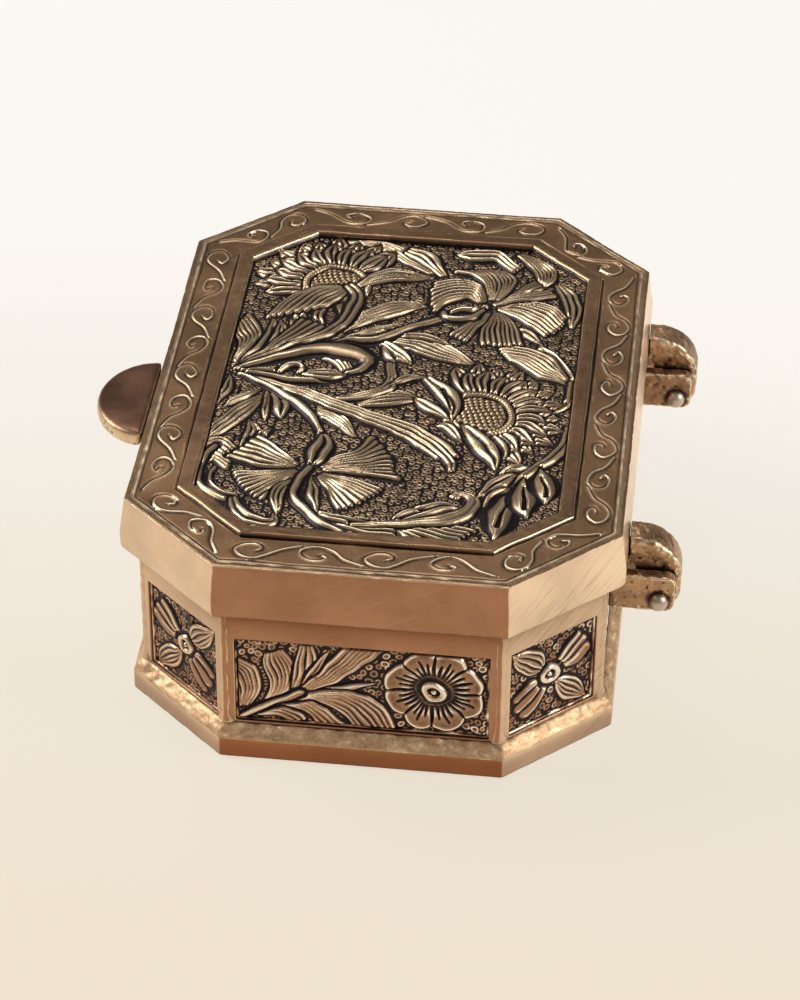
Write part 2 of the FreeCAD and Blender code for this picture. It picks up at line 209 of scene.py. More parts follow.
class BrassColours(bpy.types.PropertyGroup):
    """Colours of the aged brass."""

    # Satin and foot are the copper tones of faces towards both ends; bright satin and wall are their paler
    # copies for faces towards the long sides: painted light by facing.
    satin: colour("Satin", (0.41, 0.205, 0.115), "Brushed copper brown of the skirt and posts on both ends")
    bright: colour("Bright satin", (0.83, 0.62, 0.43), "Paler brass of the lid's slanted corners and sides")
    wall: colour("Wall", (0.68, 0.475, 0.31), "Brass of the box below the lid on those sides")
    foot: colour("Foot", (0.41, 0.180, 0.085), "Brushed foot")
    ledge: colour("Ledge", (0.70, 0.46, 0.265), "Rough slope of the foot")
    tab: colour("Tab", (0.135, 0.071, 0.044), "Browned thumb tab")
    border: colour("Border", (0.30, 0.174, 0.092), "Brown toned brass of the lid's border")
    chased: colour("Chased", (0.41, 0.28, 0.165), "Middle tone of the flowers on the lid")
    side: colour("Side flowers", (0.38, 0.215, 0.125), "Middle tone of the flowers on the sides")
    # Rubbed is the pale tone of rubbed wear, and also of painted highlights on crests, edges and engraved
    # lips.
    rubbed: colour("Rubbed", (0.82, 0.66, 0.45), "Pale brass where it is rubbed bright")
    # Patina is the near-black of the hollows, and also painted shade and shadow in corners, between parts and
    # in engraved cuts.
    patina_and_shade: colour("Patina", (0.026, 0.021, 0.023), "Near-black tone in the hollows")
    # Painted light: the side flowers' crests are shaded towards the tab and lit towards the hinges.
    side_crest_shaded: colour("Shaded side crests", (0.78, 0.60, 0.44), "Rubbed side flowers towards the tab")
    side_crest_lit: colour("Lit side crests", (1.0, 0.90, 0.78), "Rubbed side flowers towards the hinges")
    hinge: colour("Hinge", (0.46, 0.27, 0.15), "Rough brass of the hinges")
    pin: colour("Pin", (0.56, 0.47, 0.38), "Smooth pin heads")
    inside: colour("Inside", (0.46, 0.31, 0.15), "Dull brass of the inside")


class StudioSettings(bpy.types.PropertyGroup):
    """Camera, backdrop and lamps."""

    lens: amount("Lens", 122.65, "Focal length in millimetres on a 36 mm frame")
    heading: angle("Heading", 6.19, "Turn of the view about the upright")
    dip: angle("Dip", 37.76, "Downward tilt of the view")
    roll: angle("Roll", 0.51, "Turn of the view about its own line")
    place: FloatVectorProperty(name="Place", description="Where the camera stands", subtype="TRANSLATION",
                               unit="LENGTH", default=(0.5745, 0.0628, 0.4658))
    near_floor: colour("Near floor", (0.86, 0.77, 0.63), "Floor colour in front of the box")
    far_floor: colour("Far floor", (0.955, 0.925, 0.88), "Floor colour behind the box")
    evenness: share("Evenness", 0.86, "How much of the floor's shading gives way to its plain colour")
    key: amount("Key lamp", 9.0, "Power of the large lamp over the tab side")
    fill: amount("Fill lamp", 7.0, "Power of the lamp over the hinge side")
    back: amount("Back lamp", 2.6, "Power of the lamp behind the box")
    sky: amount("Sky", 0.28, "Strength of the even light all round")


def in_mm(points):
    """Points of a drawing given as numbers in millimetres, across and up by turns."""
    return np.array(points, float).reshape(-1, 2) * MM


def smooth(value):
    """Soft step from 0 to 1."""
    t = np.clip(value, 0, 1)
    return t * t * (3 - 2 * t)


def bell(value, spread=1.0):
    """1 where the value is 0, falling away softly to both sides."""
    return np.exp(-(value**2) / spread)


def spots(x, y, z=0.0):
    """Points from their coordinates."""
    return np.stack(np.broadcast_arrays(x, y, z), axis=-1)


def unit_rows(vectors):
    """Vectors brought to a length of one."""
    return vectors / np.linalg.norm(vectors, axis=-1)[..., None]


def soften(field, passes):
    """Field blurred a little by each pass."""
    for _ in range(passes):
        tall = np.pad(field, ((1, 1), (0, 0)), mode="edge")
        field = (tall[:-2] + 2 * tall[1:-1] + tall[2:]) / 4
        wide = np.pad(field, ((0, 0), (1, 1)), mode="edge")
        field = (wide[:, :-2] + 2 * wide[:, 1:-1] + wide[:, 2:]) / 4
    return field


def unevenness(points, scale, seed, waves=26):
    """Smooth random field from about -1 to 1, with bumps of about the given size in millimetres."""
    random = np.random.default_rng(seed)
    total = np.zeros(points.shape[:-1])
    for _ in range(waves):
        direction = unit_rows(random.normal(size=3))
        rate = 2 * math.pi / (scale * MM * random.uniform(0.6, 1.9))
        total += np.sin(points @ direction * rate + random.uniform(0, 2 * math.pi))
    return total / math.sqrt(waves)


def curve_through(points, steps):
    """Smooth line through a few points."""
    p = np.array(points, float)
    if len(p) == 2:
        return p[0] + np.linspace(0, 1, steps + 1)[:, None] * (p[1] - p[0])
    p = np.vstack([2 * p[0] - p[1], p, 2 * p[-1] - p[-2]])
    t = np.linspace(0, 1, steps, endpoint=False)[:, None]
    spans = []
    for a, b, c, d in zip(p[:-3], p[1:-2], p[2:-1], p[3:]):
        bend = (2 * a - 5 * b + 4 * c - d) * t**2 + (3 * b - a - 3 * c + d) * t**3
        spans.append((2 * b + (c - a) * t + bend) / 2)
    return np.vstack(spans + [p[-2:-1]])


def even(points, count=25):
    """Smooth line through a few points, as evenly spaced points."""
    line = curve_through(points, 12)
    passed = np.append(0, np.cumsum(np.linalg.norm(np.diff(line, axis=0), axis=1)))
    places = np.linspace(0, passed[-1], count)
    return np.column_stack([np.interp(places, passed, line[:, axis]) for axis in (0, 1)])


def octagon(offset):
    """Corners of the eight-sided plan, moved outwards by offset."""
    cut = math.hypot(CUT_ALONG, CUT_ACROSS)
    corner_line = CUT_ACROSS * HALF_LENGTH + CUT_ALONG * (HALF_WIDTH - CUT_ACROSS) + offset * cut
    end_x = HALF_LENGTH + offset
    side_y = HALF_WIDTH + offset
    end_y = (corner_line - CUT_ACROSS * end_x) / CUT_ALONG
    side_x = (corner_line - CUT_ALONG * side_y) / CUT_ACROSS
    right = [(end_x, -end_y), (end_x, end_y), (side_x, side_y)]
    return np.array(right + [(-side_x, side_y)] + [(-x, -y) for x, y in right] + [(side_x, -side_y)])


def side_axes(index, offset):
    """Middle, direction along, direction outwards and length of one side of the plan."""
    corners = octagon(offset)
    start, end = corners[index], corners[(index + 1) % 8]
    along = unit_rows(end - start)
    return (start + end) / 2, along, np.array([along[1], -along[0]]), np.linalg.norm(end - start)


def inside_octagon(points, offset=0.0):
    """How far each point lies inside the plan moved outwards by offset."""
    depth = np.full(points.shape[:-1], np.inf)
    for index in range(8):
        middle, _, outward, _ = side_axes(index, offset)
        depth = np.minimum(depth, (middle - points[..., :2]) @ outward)
    return depth


def push_out(points, distance, centre=(0, 0)):
    """Move points outwards from an upright through a centre."""
    points[..., :2] += unit_rows(points[..., :2] - centre) * distance[..., None]


def round_the_plan(step, close=()):
    """Shares of the way round the plan, in sides, with points at its corners and some close to them."""
    shares = []
    for index in range(8):
        run = side_axes(index, 0)[3]
        count = max(2, round(run / step))
        extra = np.array(close) / run
        shares.append(index + np.sort(np.concatenate([np.arange(count) / count, extra, 1 - extra])))
    return np.append(np.concatenate(shares), 8.0)


def plan_ring(offset, shares):
    """Points round the plan moved outwards by offset."""
    corners = np.vstack([octagon(offset), octagon(offset)[:1]])
    side = np.minimum(shares.astype(int), 7)
    part = (shares - side)[:, None]
    return corners[side] * (1 - part) + corners[side + 1] * part


class Relief:
    """Heights of a chased plate over a grid of points, built up motif by motif from the back.

    Motifs are drawn in millimetres, and each is as high as its share of the lift.
    """

    def __init__(self, x, y, lift, edge, furrow, groove=0.85, flat=1.9, glint=0.0):
        self.x = x
        self.y = y
        self.random = np.random.default_rng(RIB_SEED)
        self.lift = lift
        self.edge = edge
        self.furrow = furrow
        self.groove = groove
        self.flat = flat
        self.glint = glint
        self.height = np.zeros(x.shape)
        self.crest = np.zeros(x.shape)
        # Painted highlight on engraved lips, and painted shadow in their cuts.
        self.painted_cut_shading = np.zeros(x.shape)
        self.room = np.full(x.shape, np.inf)

    def moved(self, x):
        """Empty relief of the same kind at other places along."""
        return Relief(x, self.y, self.lift, self.edge, self.furrow, self.groove, self.flat, self.glint)

    def within(self, low, high):
        """Places of the grid between two corners."""
        return np.nonzero((self.x > low[0]) & (self.x < high[0]) & (self.y > low[1]) & (self.y < high[1]))

    def near(self, line, reach):
        """Points within reach of a line, the share of its length there, and the distance to its left."""
        spot = self.within(line.min(0) - reach, line.max(0) + reach)
        x, y = self.x[spot], self.y[spot]
        best = np.full(len(x), np.inf)
        where = np.zeros(len(x))
        side = np.ones(len(x))
        steps = np.diff(line, axis=0)
        passed = 0.0
        for start, step, run in zip(line, steps, np.linalg.norm(steps, axis=1)):
            dx, dy = x - start[0], y - start[1]
            t = np.clip((dx * step[0] + dy * step[1]) / run**2, 0, 1)
            gap_x, gap_y = dx - t * step[0], dy - t * step[1]
            gap = np.hypot(gap_x, gap_y)
            closer = gap < best
            best = np.where(closer, gap, best)
            where = np.where(closer, passed + t * run, where)
            side = np.where(closer, np.where(step[0] * gap_y - step[1] * gap_x < 0, -1.0, 1.0), side)
            passed += run
        return spot, where / passed, best * side

    def around(self, centre, reach):
        """Points within reach of a centre in millimetres, and how far along and up from it they lie."""
        centre = in_mm(centre)[0]
        spot = self.within(centre - reach, centre + reach)
        return spot, self.x[spot] - centre[0], self.y[spot] - centre[1]

    def lay(self, spot, inside, height, crest=0.5):
        """Put a motif down over what is there, with a furrow round its outline."""
        apart = smooth(-inside / self.furrow)
        body = height * smooth(inside / self.edge + 0.25)
        # Bright band just inside the outline: rubbed wear and painted highlight.
        crest = crest + 0.35 * bell(inside / self.edge - 0.4, 0.1)
        self.height[spot] = np.where(inside > 0, body, self.height[spot] * apart)
        self.crest[spot] = np.where(inside > 0, crest, self.crest[spot] * apart)
        self.room[spot] = np.minimum(self.room[spot], -inside)

    def ribbed(self, left, right, ribs, high, crown=0.0):
        """Uneven ribs side by side between two lines in metres, the middle ones longer by the crown."""
        left, right = even(left), even(right)
        inside = np.full(self.x.shape, -np.inf)
        body = np.zeros(self.x.shape)
        top = np.zeros(self.x.shape)
        bounds = np.append(0, np.cumsum(self.random.uniform(0.72, 1.28, ribs)))
        bounds /= bounds[-1]
        spread = np.linalg.norm(left - right, axis=1)
        for start, end in zip(bounds, bounds[1:]):
            place = (start + end) / 2
            middle = 1 - (2 * place - 1) ** 2
            keep = 1 + round((len(left) - 1) * (1 - crown * (1 - middle)))
            line = (left * (1 - place) + right * place)[:keep]
            width = np.maximum(0.5 * spread[:keep] * (end - start), 0.1 * MM)
            spot, along, offset = self.near(line, 1.3 * width.max() + self.furrow)
            half = np.interp(along, np.linspace(0, 1, keep), width)
            across = np.clip(np.abs(offset) / half, 0, 1)
            rise = 0.66 + 0.34 * np.sin(math.pi * along**0.8)
            crest = 1 - self.groove * across**self.flat
            reach = 1.3 * half - np.abs(offset)
            tall = self.lift * high * (0.84 + 0.16 * middle) * rise * crest * (reach > 0)
            body[spot] = np.maximum(body[spot], tall)
            inside[spot] = np.maximum(inside[spot], reach)
            # With glint, each rib gets a painted highlight: a bright line along one side.
            line_tone = 0.42 * (1 - across**4) + 0.62 * bell(offset / half - 0.45, 0.07)
            top[spot] = np.maximum(top[spot], (1 - self.glint) * (1 - across**1.2) + self.glint * line_tone)
        spot = np.nonzero(inside > -self.furrow)
        self.lay(spot, inside[spot], body[spot], top[spot])

    def fan(self, left, right, ribs, high=0.92, crown=0.0):
        """Leaf or petal with ribs that spread between its two edges."""
        self.ribbed(in_mm(left), in_mm(right), ribs, high, crown)

    def ribbon(self, points, widths, ribs, high=1.0):
        """Stalk, leaf or petal along a line, with its half widths from root to tip."""
        line = even(in_mm(points))
        ahead = unit_rows(np.gradient(line, axis=0))
        sideways = np.column_stack([-ahead[:, 1], ahead[:, 0]])
        places = np.linspace(0, 1, len(line))
        spread = MM * np.interp(places, np.linspace(0, 1, len(widths)), widths)[:, None]
        self.ribbed(line + sideways * spread, line - sideways * spread, ribs, high)

    def blade(self, points, half_width, ribs, high=0.88, belly=0.5, blunt=0.3):
        """Leaf or petal, widest at its belly, with a pointed or a blunt tip."""
        along = np.linspace(0, 1, 25)
        rise = np.sin(0.5 * math.pi * np.clip(along / belly, 0, 1))
        fall = np.cos(0.5 * math.pi * np.clip((along - belly) / (1 - belly), 0, 1)) ** (1 - 0.6 * blunt)
        self.ribbon(points, half_width * rise * fall, ribs, high)

    def bloom(self, centre, inner, outer, petals, start, sweep, half_width, high, blunt=0.2):
        """Petals round a centre, from a start angle through a sweep, both in degrees."""
        for index in range(petals):
            turn = math.radians(start + sweep * index / (petals - 1))
            reach = outer * (1 + 0.05 * math.sin(2.4 * index))
            way = np.array([math.cos(turn), math.sin(turn)])
            line = [centre + away * way for away in (inner, (inner + reach) / 2, reach)]
            self.blade(line, half_width, 3, high, 0.5, blunt)

    def boss(self, centre, radius, high, hollow=0.0, teeth=0, hatch=0.0):
        """Round boss, or a ring when it has a hollow, with teeth round it or a crossed hatching over it."""
        radius, hollow, hatch = radius * MM, hollow * MM, hatch * MM
        spot, dx, dy = self.around(centre, radius + self.furrow)
        away = np.hypot(dx, dy)
        if hollow:
            keep = away > hollow - self.furrow
            spot = tuple(axis[keep] for axis in spot)
            dx, dy, away = dx[keep], dy[keep], away[keep]
            inside = (radius - hollow) / 2 - np.abs(away - (radius + hollow) / 2)
            body = 0.8 + 0.2 * np.sqrt(np.clip(2 * inside / (radius - hollow), 0, 1))
        else:
            inside = radius - away
            body = 0.7 + 0.3 * np.sqrt(np.clip(1 - (away / radius) ** 2, 0, 1))
        if teeth:
            body = body * (0.82 + 0.18 * np.cos(teeth * np.arctan2(dy, dx)))
        if hatch:
            one, two = (dx + 0.3 * dy) / hatch, (dy - 0.3 * dx) / hatch
            body = body * (0.25 + 0.75 * np.sqrt(np.abs(np.sin(math.pi * one) * np.sin(math.pi * two))))
        self.lay(spot, inside, self.lift * high * body)

    def lobed(self, centre, radius, swing, lobes, high):
        """Flower head with a scalloped outline and a raised rim."""
        radius, swing = radius * MM, swing * MM
        spot, dx, dy = self.around(centre, radius + swing + self.furrow)
        bulge = np.abs(np.sin(0.5 * lobes * np.arctan2(dy, dx))) ** 0.7
        inside = radius + swing * bulge - np.hypot(dx, dy)
        rim = bell((inside - 0.5 * MM) / (0.4 * MM))
        self.lay(spot, inside, self.lift * high * (0.78 + 0.22 * rim), 0.3 + 0.35 * rim)

    def stroke(self, points, half_width, depth=0.95):
        """Dark stroke cut into a motif, widest where it starts, with a bright lip on each side."""
        half_width *= MM
        spot, along, offset = self.near(even(in_mm(points)), 3 * half_width)
        away = np.abs(offset) / (half_width * (1 - 0.7 * along))
        cut = depth * smooth(1.4 - away)
        self.height[spot] *= 1 - cut
        self.crest[spot] = self.crest[spot] * (1 - cut) + 0.3 * bell(away - 1.7, 0.3)

    def cut_line(self, points, half_width, burr, depth):
        """Engraved line in metres: a raised lip with a cut beside it, with a painted highlight on the lip,
        and patina and painted shadow in the cut.
        """
        spot, _, offset = self.near(curve_through(points, 10), 4 * half_width)
        lip = bell(offset / half_width)
        cut = bell((offset - 1.7 * half_width) / (0.8 * half_width))
        self.height[spot] += burr * lip - depth * cut
        self.painted_cut_shading[spot] += lip - cut

    def beads(self, pitch, lift, seed, dot=0.8):
        """Ground matted with ring punches wherever no motif lies, each with a dot inside."""
        random = np.random.default_rng(seed)
        row_pitch = 0.87 * pitch
        rows, columns = self.y / row_pitch, self.x / pitch
        row = np.floor(rows).astype(int)
        low = int(row.min()) - 2
        first = int(np.floor(columns.min())) - 3
        shape = (int(row.max()) - low + 4, int(np.floor(columns.max())) - first + 6)
        jitter = random.uniform(-0.22, 0.22, shape + (2,))
        tone = random.uniform(0.5, 1.0, shape)
        size = random.uniform(0.37, 0.45, shape) * pitch
        away = np.full(self.x.shape, np.inf)
        strength = np.ones(self.x.shape)
        for down in (-1, 0, 1):
            here = row + down
            shift = 0.5 * (here % 2)
            column = np.floor(columns - shift).astype(int)
            for over in (-1, 0, 1):
                there = column + over
                spot = (here - low, there - first)
                offset = jitter[spot]
                gap_x = (columns - shift - there - 0.5 - offset[..., 0]) * pitch
                gap_y = (rows - here - 0.5 - offset[..., 1]) * row_pitch
                gap = np.hypot(gap_x, gap_y) / size[spot]
                strength = np.where(gap < away, tone[spot], strength)
                away = np.minimum(away, gap)
        dome = bell((away - 0.74) / 0.26) + dot * bell(away / 0.24)
        free = smooth((self.room - 0.2 * self.furrow) / self.edge)
        self.height += lift * strength * dome * free
        self.crest += 1.3 * strength * dome * free

    def wear_and_painted_light(self, step):
        """How bright each point is, from 0 in the hollows to 1 on the crests: rubbed wear, with painted
        highlight and shadow.
        """
        fine = self.height - soften(self.height, max(2, round((0.5 * MM / step) ** 2)))
        broad = self.height - soften(self.height, max(8, round((1.1 * MM / step) ** 2)))
        raised = (0.15 * self.height + fine + 0.6 * broad) / self.lift
        return np.clip(0.03 + raised + 0.46 * self.crest + 0.5 * self.painted_cut_shading, 0, 1)


def draw_lid_flowers(relief):
    """Flowers, leaves and stalks of the lid, laid from the back to the front."""
    fan, blade, ribbon = relief.fan, relief.blade, relief.ribbon

    # Leaves along the edges of the panel
    fan((-50.5, -21, -52.4, -14, -51, -6, -46, 0, -41.5, 4),
        (-50, -20, -50.4, -14, -48, -8, -45, -4, -40.6, 2), 5, 0.8)
    fan((-50.6, -2, -47.6, 3, -41, 6), (-48, -4, -43.6, 1, -40.2, 4.6), 3, 0.8)
    fan((-37, 24.4, -41, 25.6, -45, 24, -50.5, 20.4), (-37, 26, -42, 29.8, -47.4, 28.2, -51.6, 22), 6)
    fan((-39.5, 29.6, -35, 31.4, -30, 32.6, -24.5, 34), (-40, 31.2, -36, 35.2, -30, 36.2, -24, 35), 3)
    fan((-46, 21.4, -50.8, 16.4, -51.2, 11, -49.4, 7.2), (-43.6, 20, -46.8, 16, -47.2, 11, -48.4, 8), 3, 1)
    fan((-1, -35.2, -8, -31.8, -14, -30.8, -21, -34.6), (-2, -35.8, -9, -35.4, -12, -36.2, -14, -37.2), 6)
    fan((24.6, -37.4, 23.8, -33.8, 26.4, -30.4), (33.8, -37.2, 31.6, -34.4, 34.2, -31), 7, 0.8)
    fan((-16.6, 28.4, -12, 33.2, -6, 36.2, -2, 37), (-15, 27.6, -10, 31.4, -6, 33.8, -2, 35.4), 3)
    fan((-15.6, 19.2, -15.2, 26, -12, 31.4, -5.6, 34.8), (-10.6, 22.4, -7.4, 26.4, -4.4, 30, -3.2, 34.6), 7)
    fan((44.6, -13, 46.6, -7, 47.6, 0, 48.4, 5.4), (47, -12.6, 51, -8, 53.2, -2, 53, 4), 4)
    blade((-1, -34.6, -8, -30.4, -14, -28.8, -20.6, -29.4), 1.7, 2)
    blade((-5, -29.6, -13, -26.8, -19.8, -27.6), 1.7, 3)
    blade((-10.6, -25.6, -16, -24.2, -20.6, -25.4), 1.2, 2)
    blade((-28.4, -21.4, -23, -24, -18, -22), 1.5, 2)
    blade((-26.6, -18, -22, -19.8, -17.6, -18), 1.3, 2)
    blade((1.5, -35.6, 6, -35, 12, -37), 1.1, 2)
    blade((49.4, 5, 52.2, 9, 53, 14), 1.5, 2)
    blade((16.4, -29, 21, -27.4, 26, -29.8), 1.7, 3)
    blade((19.4, -24, 23, -26, 27.4, -25.4), 1.3, 2)
    blade((-23.4, 20.5, -20, 26, -17, 29), 1.2, 2, 0.6)
    ribbon((-4, 35.8, 1, 36, 5, 35, 7.4, 31.6), (0.9, 1.0, 0.8), 2, 0.86)
    ribbon((12, 36.8, 18, 36.4, 22.6, 34.2, 26.4, 30.8, 30, 28.2, 34.4, 26.2, 38.4, 25.2),
           (1.5, 1.3, 1.0, 0.7), 2, 0.86)
    ribbon((27, -35, 33, -36.9, 38, -36.6, 41.8, -34, 43.8, -30.4, 44.6, -27.2), (0.9, 1.0, 1.1), 1, 0.86)
    ribbon((33.6, -33.4, 36.6, -34.4, 40, -33, 42, -30.6, 42.4, -27.8), (0.4, 0.5, 0.4), 1, 0.86)
    ribbon((43.8, -28.2, 46.6, -27, 49.6, -24.8, 50.8, -21.6, 49.8, -19.2, 47.6, -19.4),
           (1.0, 1.6, 1.9, 1.3, 0.5), 2, 0.92)

    # Sunflower behind the long leaves, upper left
    heart = np.array((-34, -17.5))
    relief.bloom(heart, 6.8, 18, 10, -86, -134, 2.7, 0.74)
    relief.bloom(heart, 6.8, 15.4, 10, -76, -142, 2.4, 0.86)
    relief.boss(heart, 7.6, 0.9, hollow=5.9, teeth=52)
    relief.boss(heart, 5.7, 0.8, hatch=1.25)

    # Leaves on the stalks to the sunflower and the iris
    fan((-1, -35, -9, -29.4, -15, -26.2, -20.4, -23.6), (-0.6, -34.6, -6, -25.4, -10.6, -17, -14, -10), 9,
        0.8)
    fan((-15, -19, -19.6, -16.4, -22.6, -15.4, -26.6, -16.4),
        (-14.6, -17, -18, -13, -21.6, -8.6, -22, -4.4), 5, 0.7)
    fan((-14.5, -14, -18.5, -8, -20.6, -2, -20, 1.4), (-13.6, -13, -15.8, -7, -18.8, 1), 4)
    fan((-17, -1, -15.8, 6, -12.6, 12, -8.8, 15), (-13, -2.6, -10.5, 3, -8.4, 8, -8, 14), 6)
    fan((-17.5, -14.6, -24, -11, -28.2, -6, -29.4, 0, -28.6, 3),
        (-16.8, -13.4, -21, -8.4, -23, -4, -28, 2.4), 5, 1)
    fan((-34.5, -14, -40, -9, -41.6, -4, -39.6, 3.4), (-33.6, -13, -35.8, -8, -37.2, -2.6, -39, 3), 5, 1)
    fan((-33.8, -14.6, -33.2, -20, -29, -26.6, -20, -31),
        (-33, -14.2, -29.6, -15.4, -26.6, -17.2, -25.4, -19), 8, 1)
    blade((-16.8, -2.6, -16.4, 3, -14.6, 10), 1.2, 2, 1)
    blade((-14.4, -5.8, -10.6, -2.2, -7, 2), 2.2, 3)
    blade((-12.4, -5, -8.6, -3.2, -6.4, -1.4), 1.0, 1)
    ribbon((0, -35.2, -6, -28.6, -11, -22.4, -15.4, -17.4, -20, -14.2, -26, -12.6, -31, -12.8, -34.2, -15),
           (0.6, 0.8, 1.0, 1.3, 1.6, 1.2), 2, 0.9)
    fan((-0.4, -35, -5.6, -28.4, -9.8, -22, -12, -17), (-0.4, -34.8, -4.6, -28, -8, -21.4, -11, -16), 3)
    ribbon((-6, -27, -10.6, -19.6, -13, -13, -14.6, -6.4, -19, -1, -24.8, 7), (0.5, 0.9, 1.25, 1.0, 1.1), 1)

    # Cupped leaf with the curled bud inside it
    fan((-9.2, -17, -7.2, -12, -3.4, -9.6), (-6.6, -18.6, -5, -14.4, -2.2, -11.6), 4, 0.736)
    ribbon((-0.5, -34.6, -5.8, -26, -8.8, -20, -9.8, -14, -8.8, -9.2, -6.4, -7.2, -3.8, -8.2, -1.6, -11.4),
           (0.4, 0.7, 0.9, 1.2, 1.7, 1.5, 0.5), 1)
    ribbon((-0.4, -33, -0.8, -28, -1.2, -25), (0.4, 0.5), 1)
    ribbon((0.2, -32, 1.7, -25, 2.3, -19, 1.2, -14, -1, -11), (0.4, 0.7, 0.8, 0.4), 1)
    blade((-0.3, -20.8, -0.4, -16, -1.3, -10.8), 2.1, 3, 1)
    ribbon((-0.8, -25.2, -2.7, -24, -3.4, -22.2, -2.6, -20.6, -0.9, -21.4), (0.5, 0.8, 0.7, 0.4), 1)

    # Iris
    fan((-28, 17.4, -23, 15.8, -19, 15.2, -15.2, 16), (-28, 19.4, -24, 22, -20, 23.8, -16.4, 24.8), 8,
        crown=0.08)
    fan((-27.4, 15, -22, 11.6, -18.6, 8.8), (-27, 17, -21.4, 14.6, -17, 12.8), 4, 1)
    fan((-31, 18, -32.8, 24, -31.6, 30, -27, 33.6), (-29, 18.6, -26.2, 22, -23, 25.6, -20, 29.4), 9,
        crown=0.06)
    fan((-32.6, 18.6, -36, 21.4, -40.6, 24.8), (-32, 19.6, -34.6, 23.6, -37.8, 27.4), 4, 0.85)
    fan((-31.4, 17, -34.8, 22.4, -37.8, 28.8), (-30.6, 18, -32.4, 23.6, -35, 30.4), 3, 1)
    fan((-32.6, 15.2, -37, 14.6, -41.6, 11.4, -42.4, 6.8), (-32.6, 18.4, -37.4, 20.6, -41, 21, -44.4, 18),
        9, crown=0.08)
    fan((-32, 15.6, -37, 13.8, -39.4, 9, -37.6, 3), (-31, 14, -32, 10.6, -30, 7, -26.6, 4.6), 8, 1,
        crown=0.06)
    ribbon((-30, 15.8, -28.4, 14, -28, 11, -27, 8.4), (0.6, 1.0, 0.8), 1)
    ribbon((-26.8, 6.6, -24.8, 7.6, -24, 10, -25.4, 12.8, -28.4, 15), (0.7, 1.0, 0.9, 0.5), 1)

    # Sunflower on the right, with the long curved leaf in front of it
    heart = np.array((9.5, 17.6))
    relief.bloom(heart, 6.8, 17.8, 12, 200, -168, 2.5, 0.74)
    relief.bloom(heart, 6.8, 15.2, 12, 192, -168, 2.3, 0.88, 0.25)
    relief.boss(heart, 7.9, 0.95, hollow=6.2, teeth=56)
    relief.boss(heart, 6, 0.85, hatch=1.25)
    fan((7.5, -8, 4.4, -3, 3, 1, 4.8, 5), (9.8, -7, 9, -1, 7, 3.2, 5.2, 5.4), 5)
    fan((7.6, -13.4, 5.4, -8, 2, -3.6, -3, -2.8, -6.4, -3.4),
        (8.2, -12, 7, -6, 3.8, -1, -1, -0.2, -6, -1.4), 3)
    blade((12.4, 12.2, 9, 8.4, 5, 3.8), 1.7, 2)
    blade((12.4, 12.4, 6.8, 12.4, 1.6, 9, -3.2, 4), 2.3, 2, 1)
    blade((1.4, -2, -1.4, 2, -2.6, 6), 1.1, 2, 0.7)

    # Leaves that hang from the thick stalk, and those left of it
    fan((8, -28, 12, -31.6, 18, -35.6, 24, -37.6), (9, -27, 14, -28.6, 20, -31.8, 24.6, -36.8), 4, 1)
    fan((10.4, -15.6, 12.4, -11, 16.6, -7.6, 20, -6), (14, -15.6, 15.6, -12.6, 18.4, -9.6, 20.4, -7), 5)
    blade((6.4, -28.4, 9.6, -31.6, 13, -35.4), 1.1, 2, 1)
    blade((5.4, -27.2, 10, -26.2, 16.6, -25.6), 1.1, 2)
    blade((6.8, -26.4, 10, -23.6, 16, -22.6), 1.9, 2)
    blade((13.8, 9, 15.6, 12.4, 19.4, 15.4), 1.3, 2)
    blade((13.2, 14.4, 19, 19, 28, 23.2), 2.4, 2, 1)
    fan((0.4, -34.9, 3.4, -24, 6.8, -15, 10.4, -6.6, 13, 0, 16, 7.4, 20.4, 13, 25, 15.6, 28.6, 15.2),
        (0.8, -34.3, 5, -25, 9.4, -17, 14, -8, 17.6, -1, 20.6, 4.6, 24, 8.8, 27, 11.4, 29.4, 12.8), 4, 1,
        crown=0.13)
    ribbon((1.2, -33.4, 5.2, -26.6, 9.6, -20.8, 13, -17.4, 17, -14.6, 22.4, -13.4), (0.5, 0.9, 0.9, 0.8), 1,
           0.95)

    # Large open flower, lower left
    fan((29.6, -12.6, 25.4, -7, 19, -3.4), (32, -11.4, 33.4, -4, 33.6, 4.6), 10, crown=0.08)
    fan((30.2, -16.6, 26.4, -20.8, 22, -25.8), (31.4, -17.4, 32.8, -24, 30.4, -31.4), 6)
    fan((32.4, -17.4, 34, -24, 35, -30.6), (33.4, -16.2, 39, -18.6, 45, -21), 10, 1, crown=0.1)
    fan((34.4, -12.6, 39.4, -9.8, 45, -7), (32.6, -11.4, 35, -5, 36.8, 2), 9, 0.95, crown=0.1)
    blade((35, -16.8, 41, -19.6, 47.4, -19), 1.6, 3)
    blade((34.4, -13.8, 40, -12.8, 45.6, -11.4), 1.2, 2)
    blade((19.8, -13.5, 24.4, -12.8, 31.6, -14.6), 2.4, 2, 1)

    # Ribbon that runs from the open flower along the foot of the panel
    fan((48, 8, 46.2, 13, 47.8, 21), (49.6, 7, 51.4, 11, 52.4, 16), 5)
    blade((41, 17, 42.2, 11.4, 47, 4.6), 2.3, 2, 1)
    blade((42.8, 9.6, 43.6, 6.8, 46, 4), 0.9, 1)
    ribbon((31.6, -14.4, 36, -16.2, 41, -16.2, 45.2, -14.2, 49, -10.4, 52, -5), (0.9, 1.0, 1.1, 0.7), 1)
    ribbon((49, -4, 48.3, 4, 46.8, 11, 44, 17.4, 40.4, 19.8, 37.2, 18.8, 36.6, 16.4, 38, 15.4),
           (0.6, 0.9, 1.1, 1.5, 1.2, 0.9), 3)

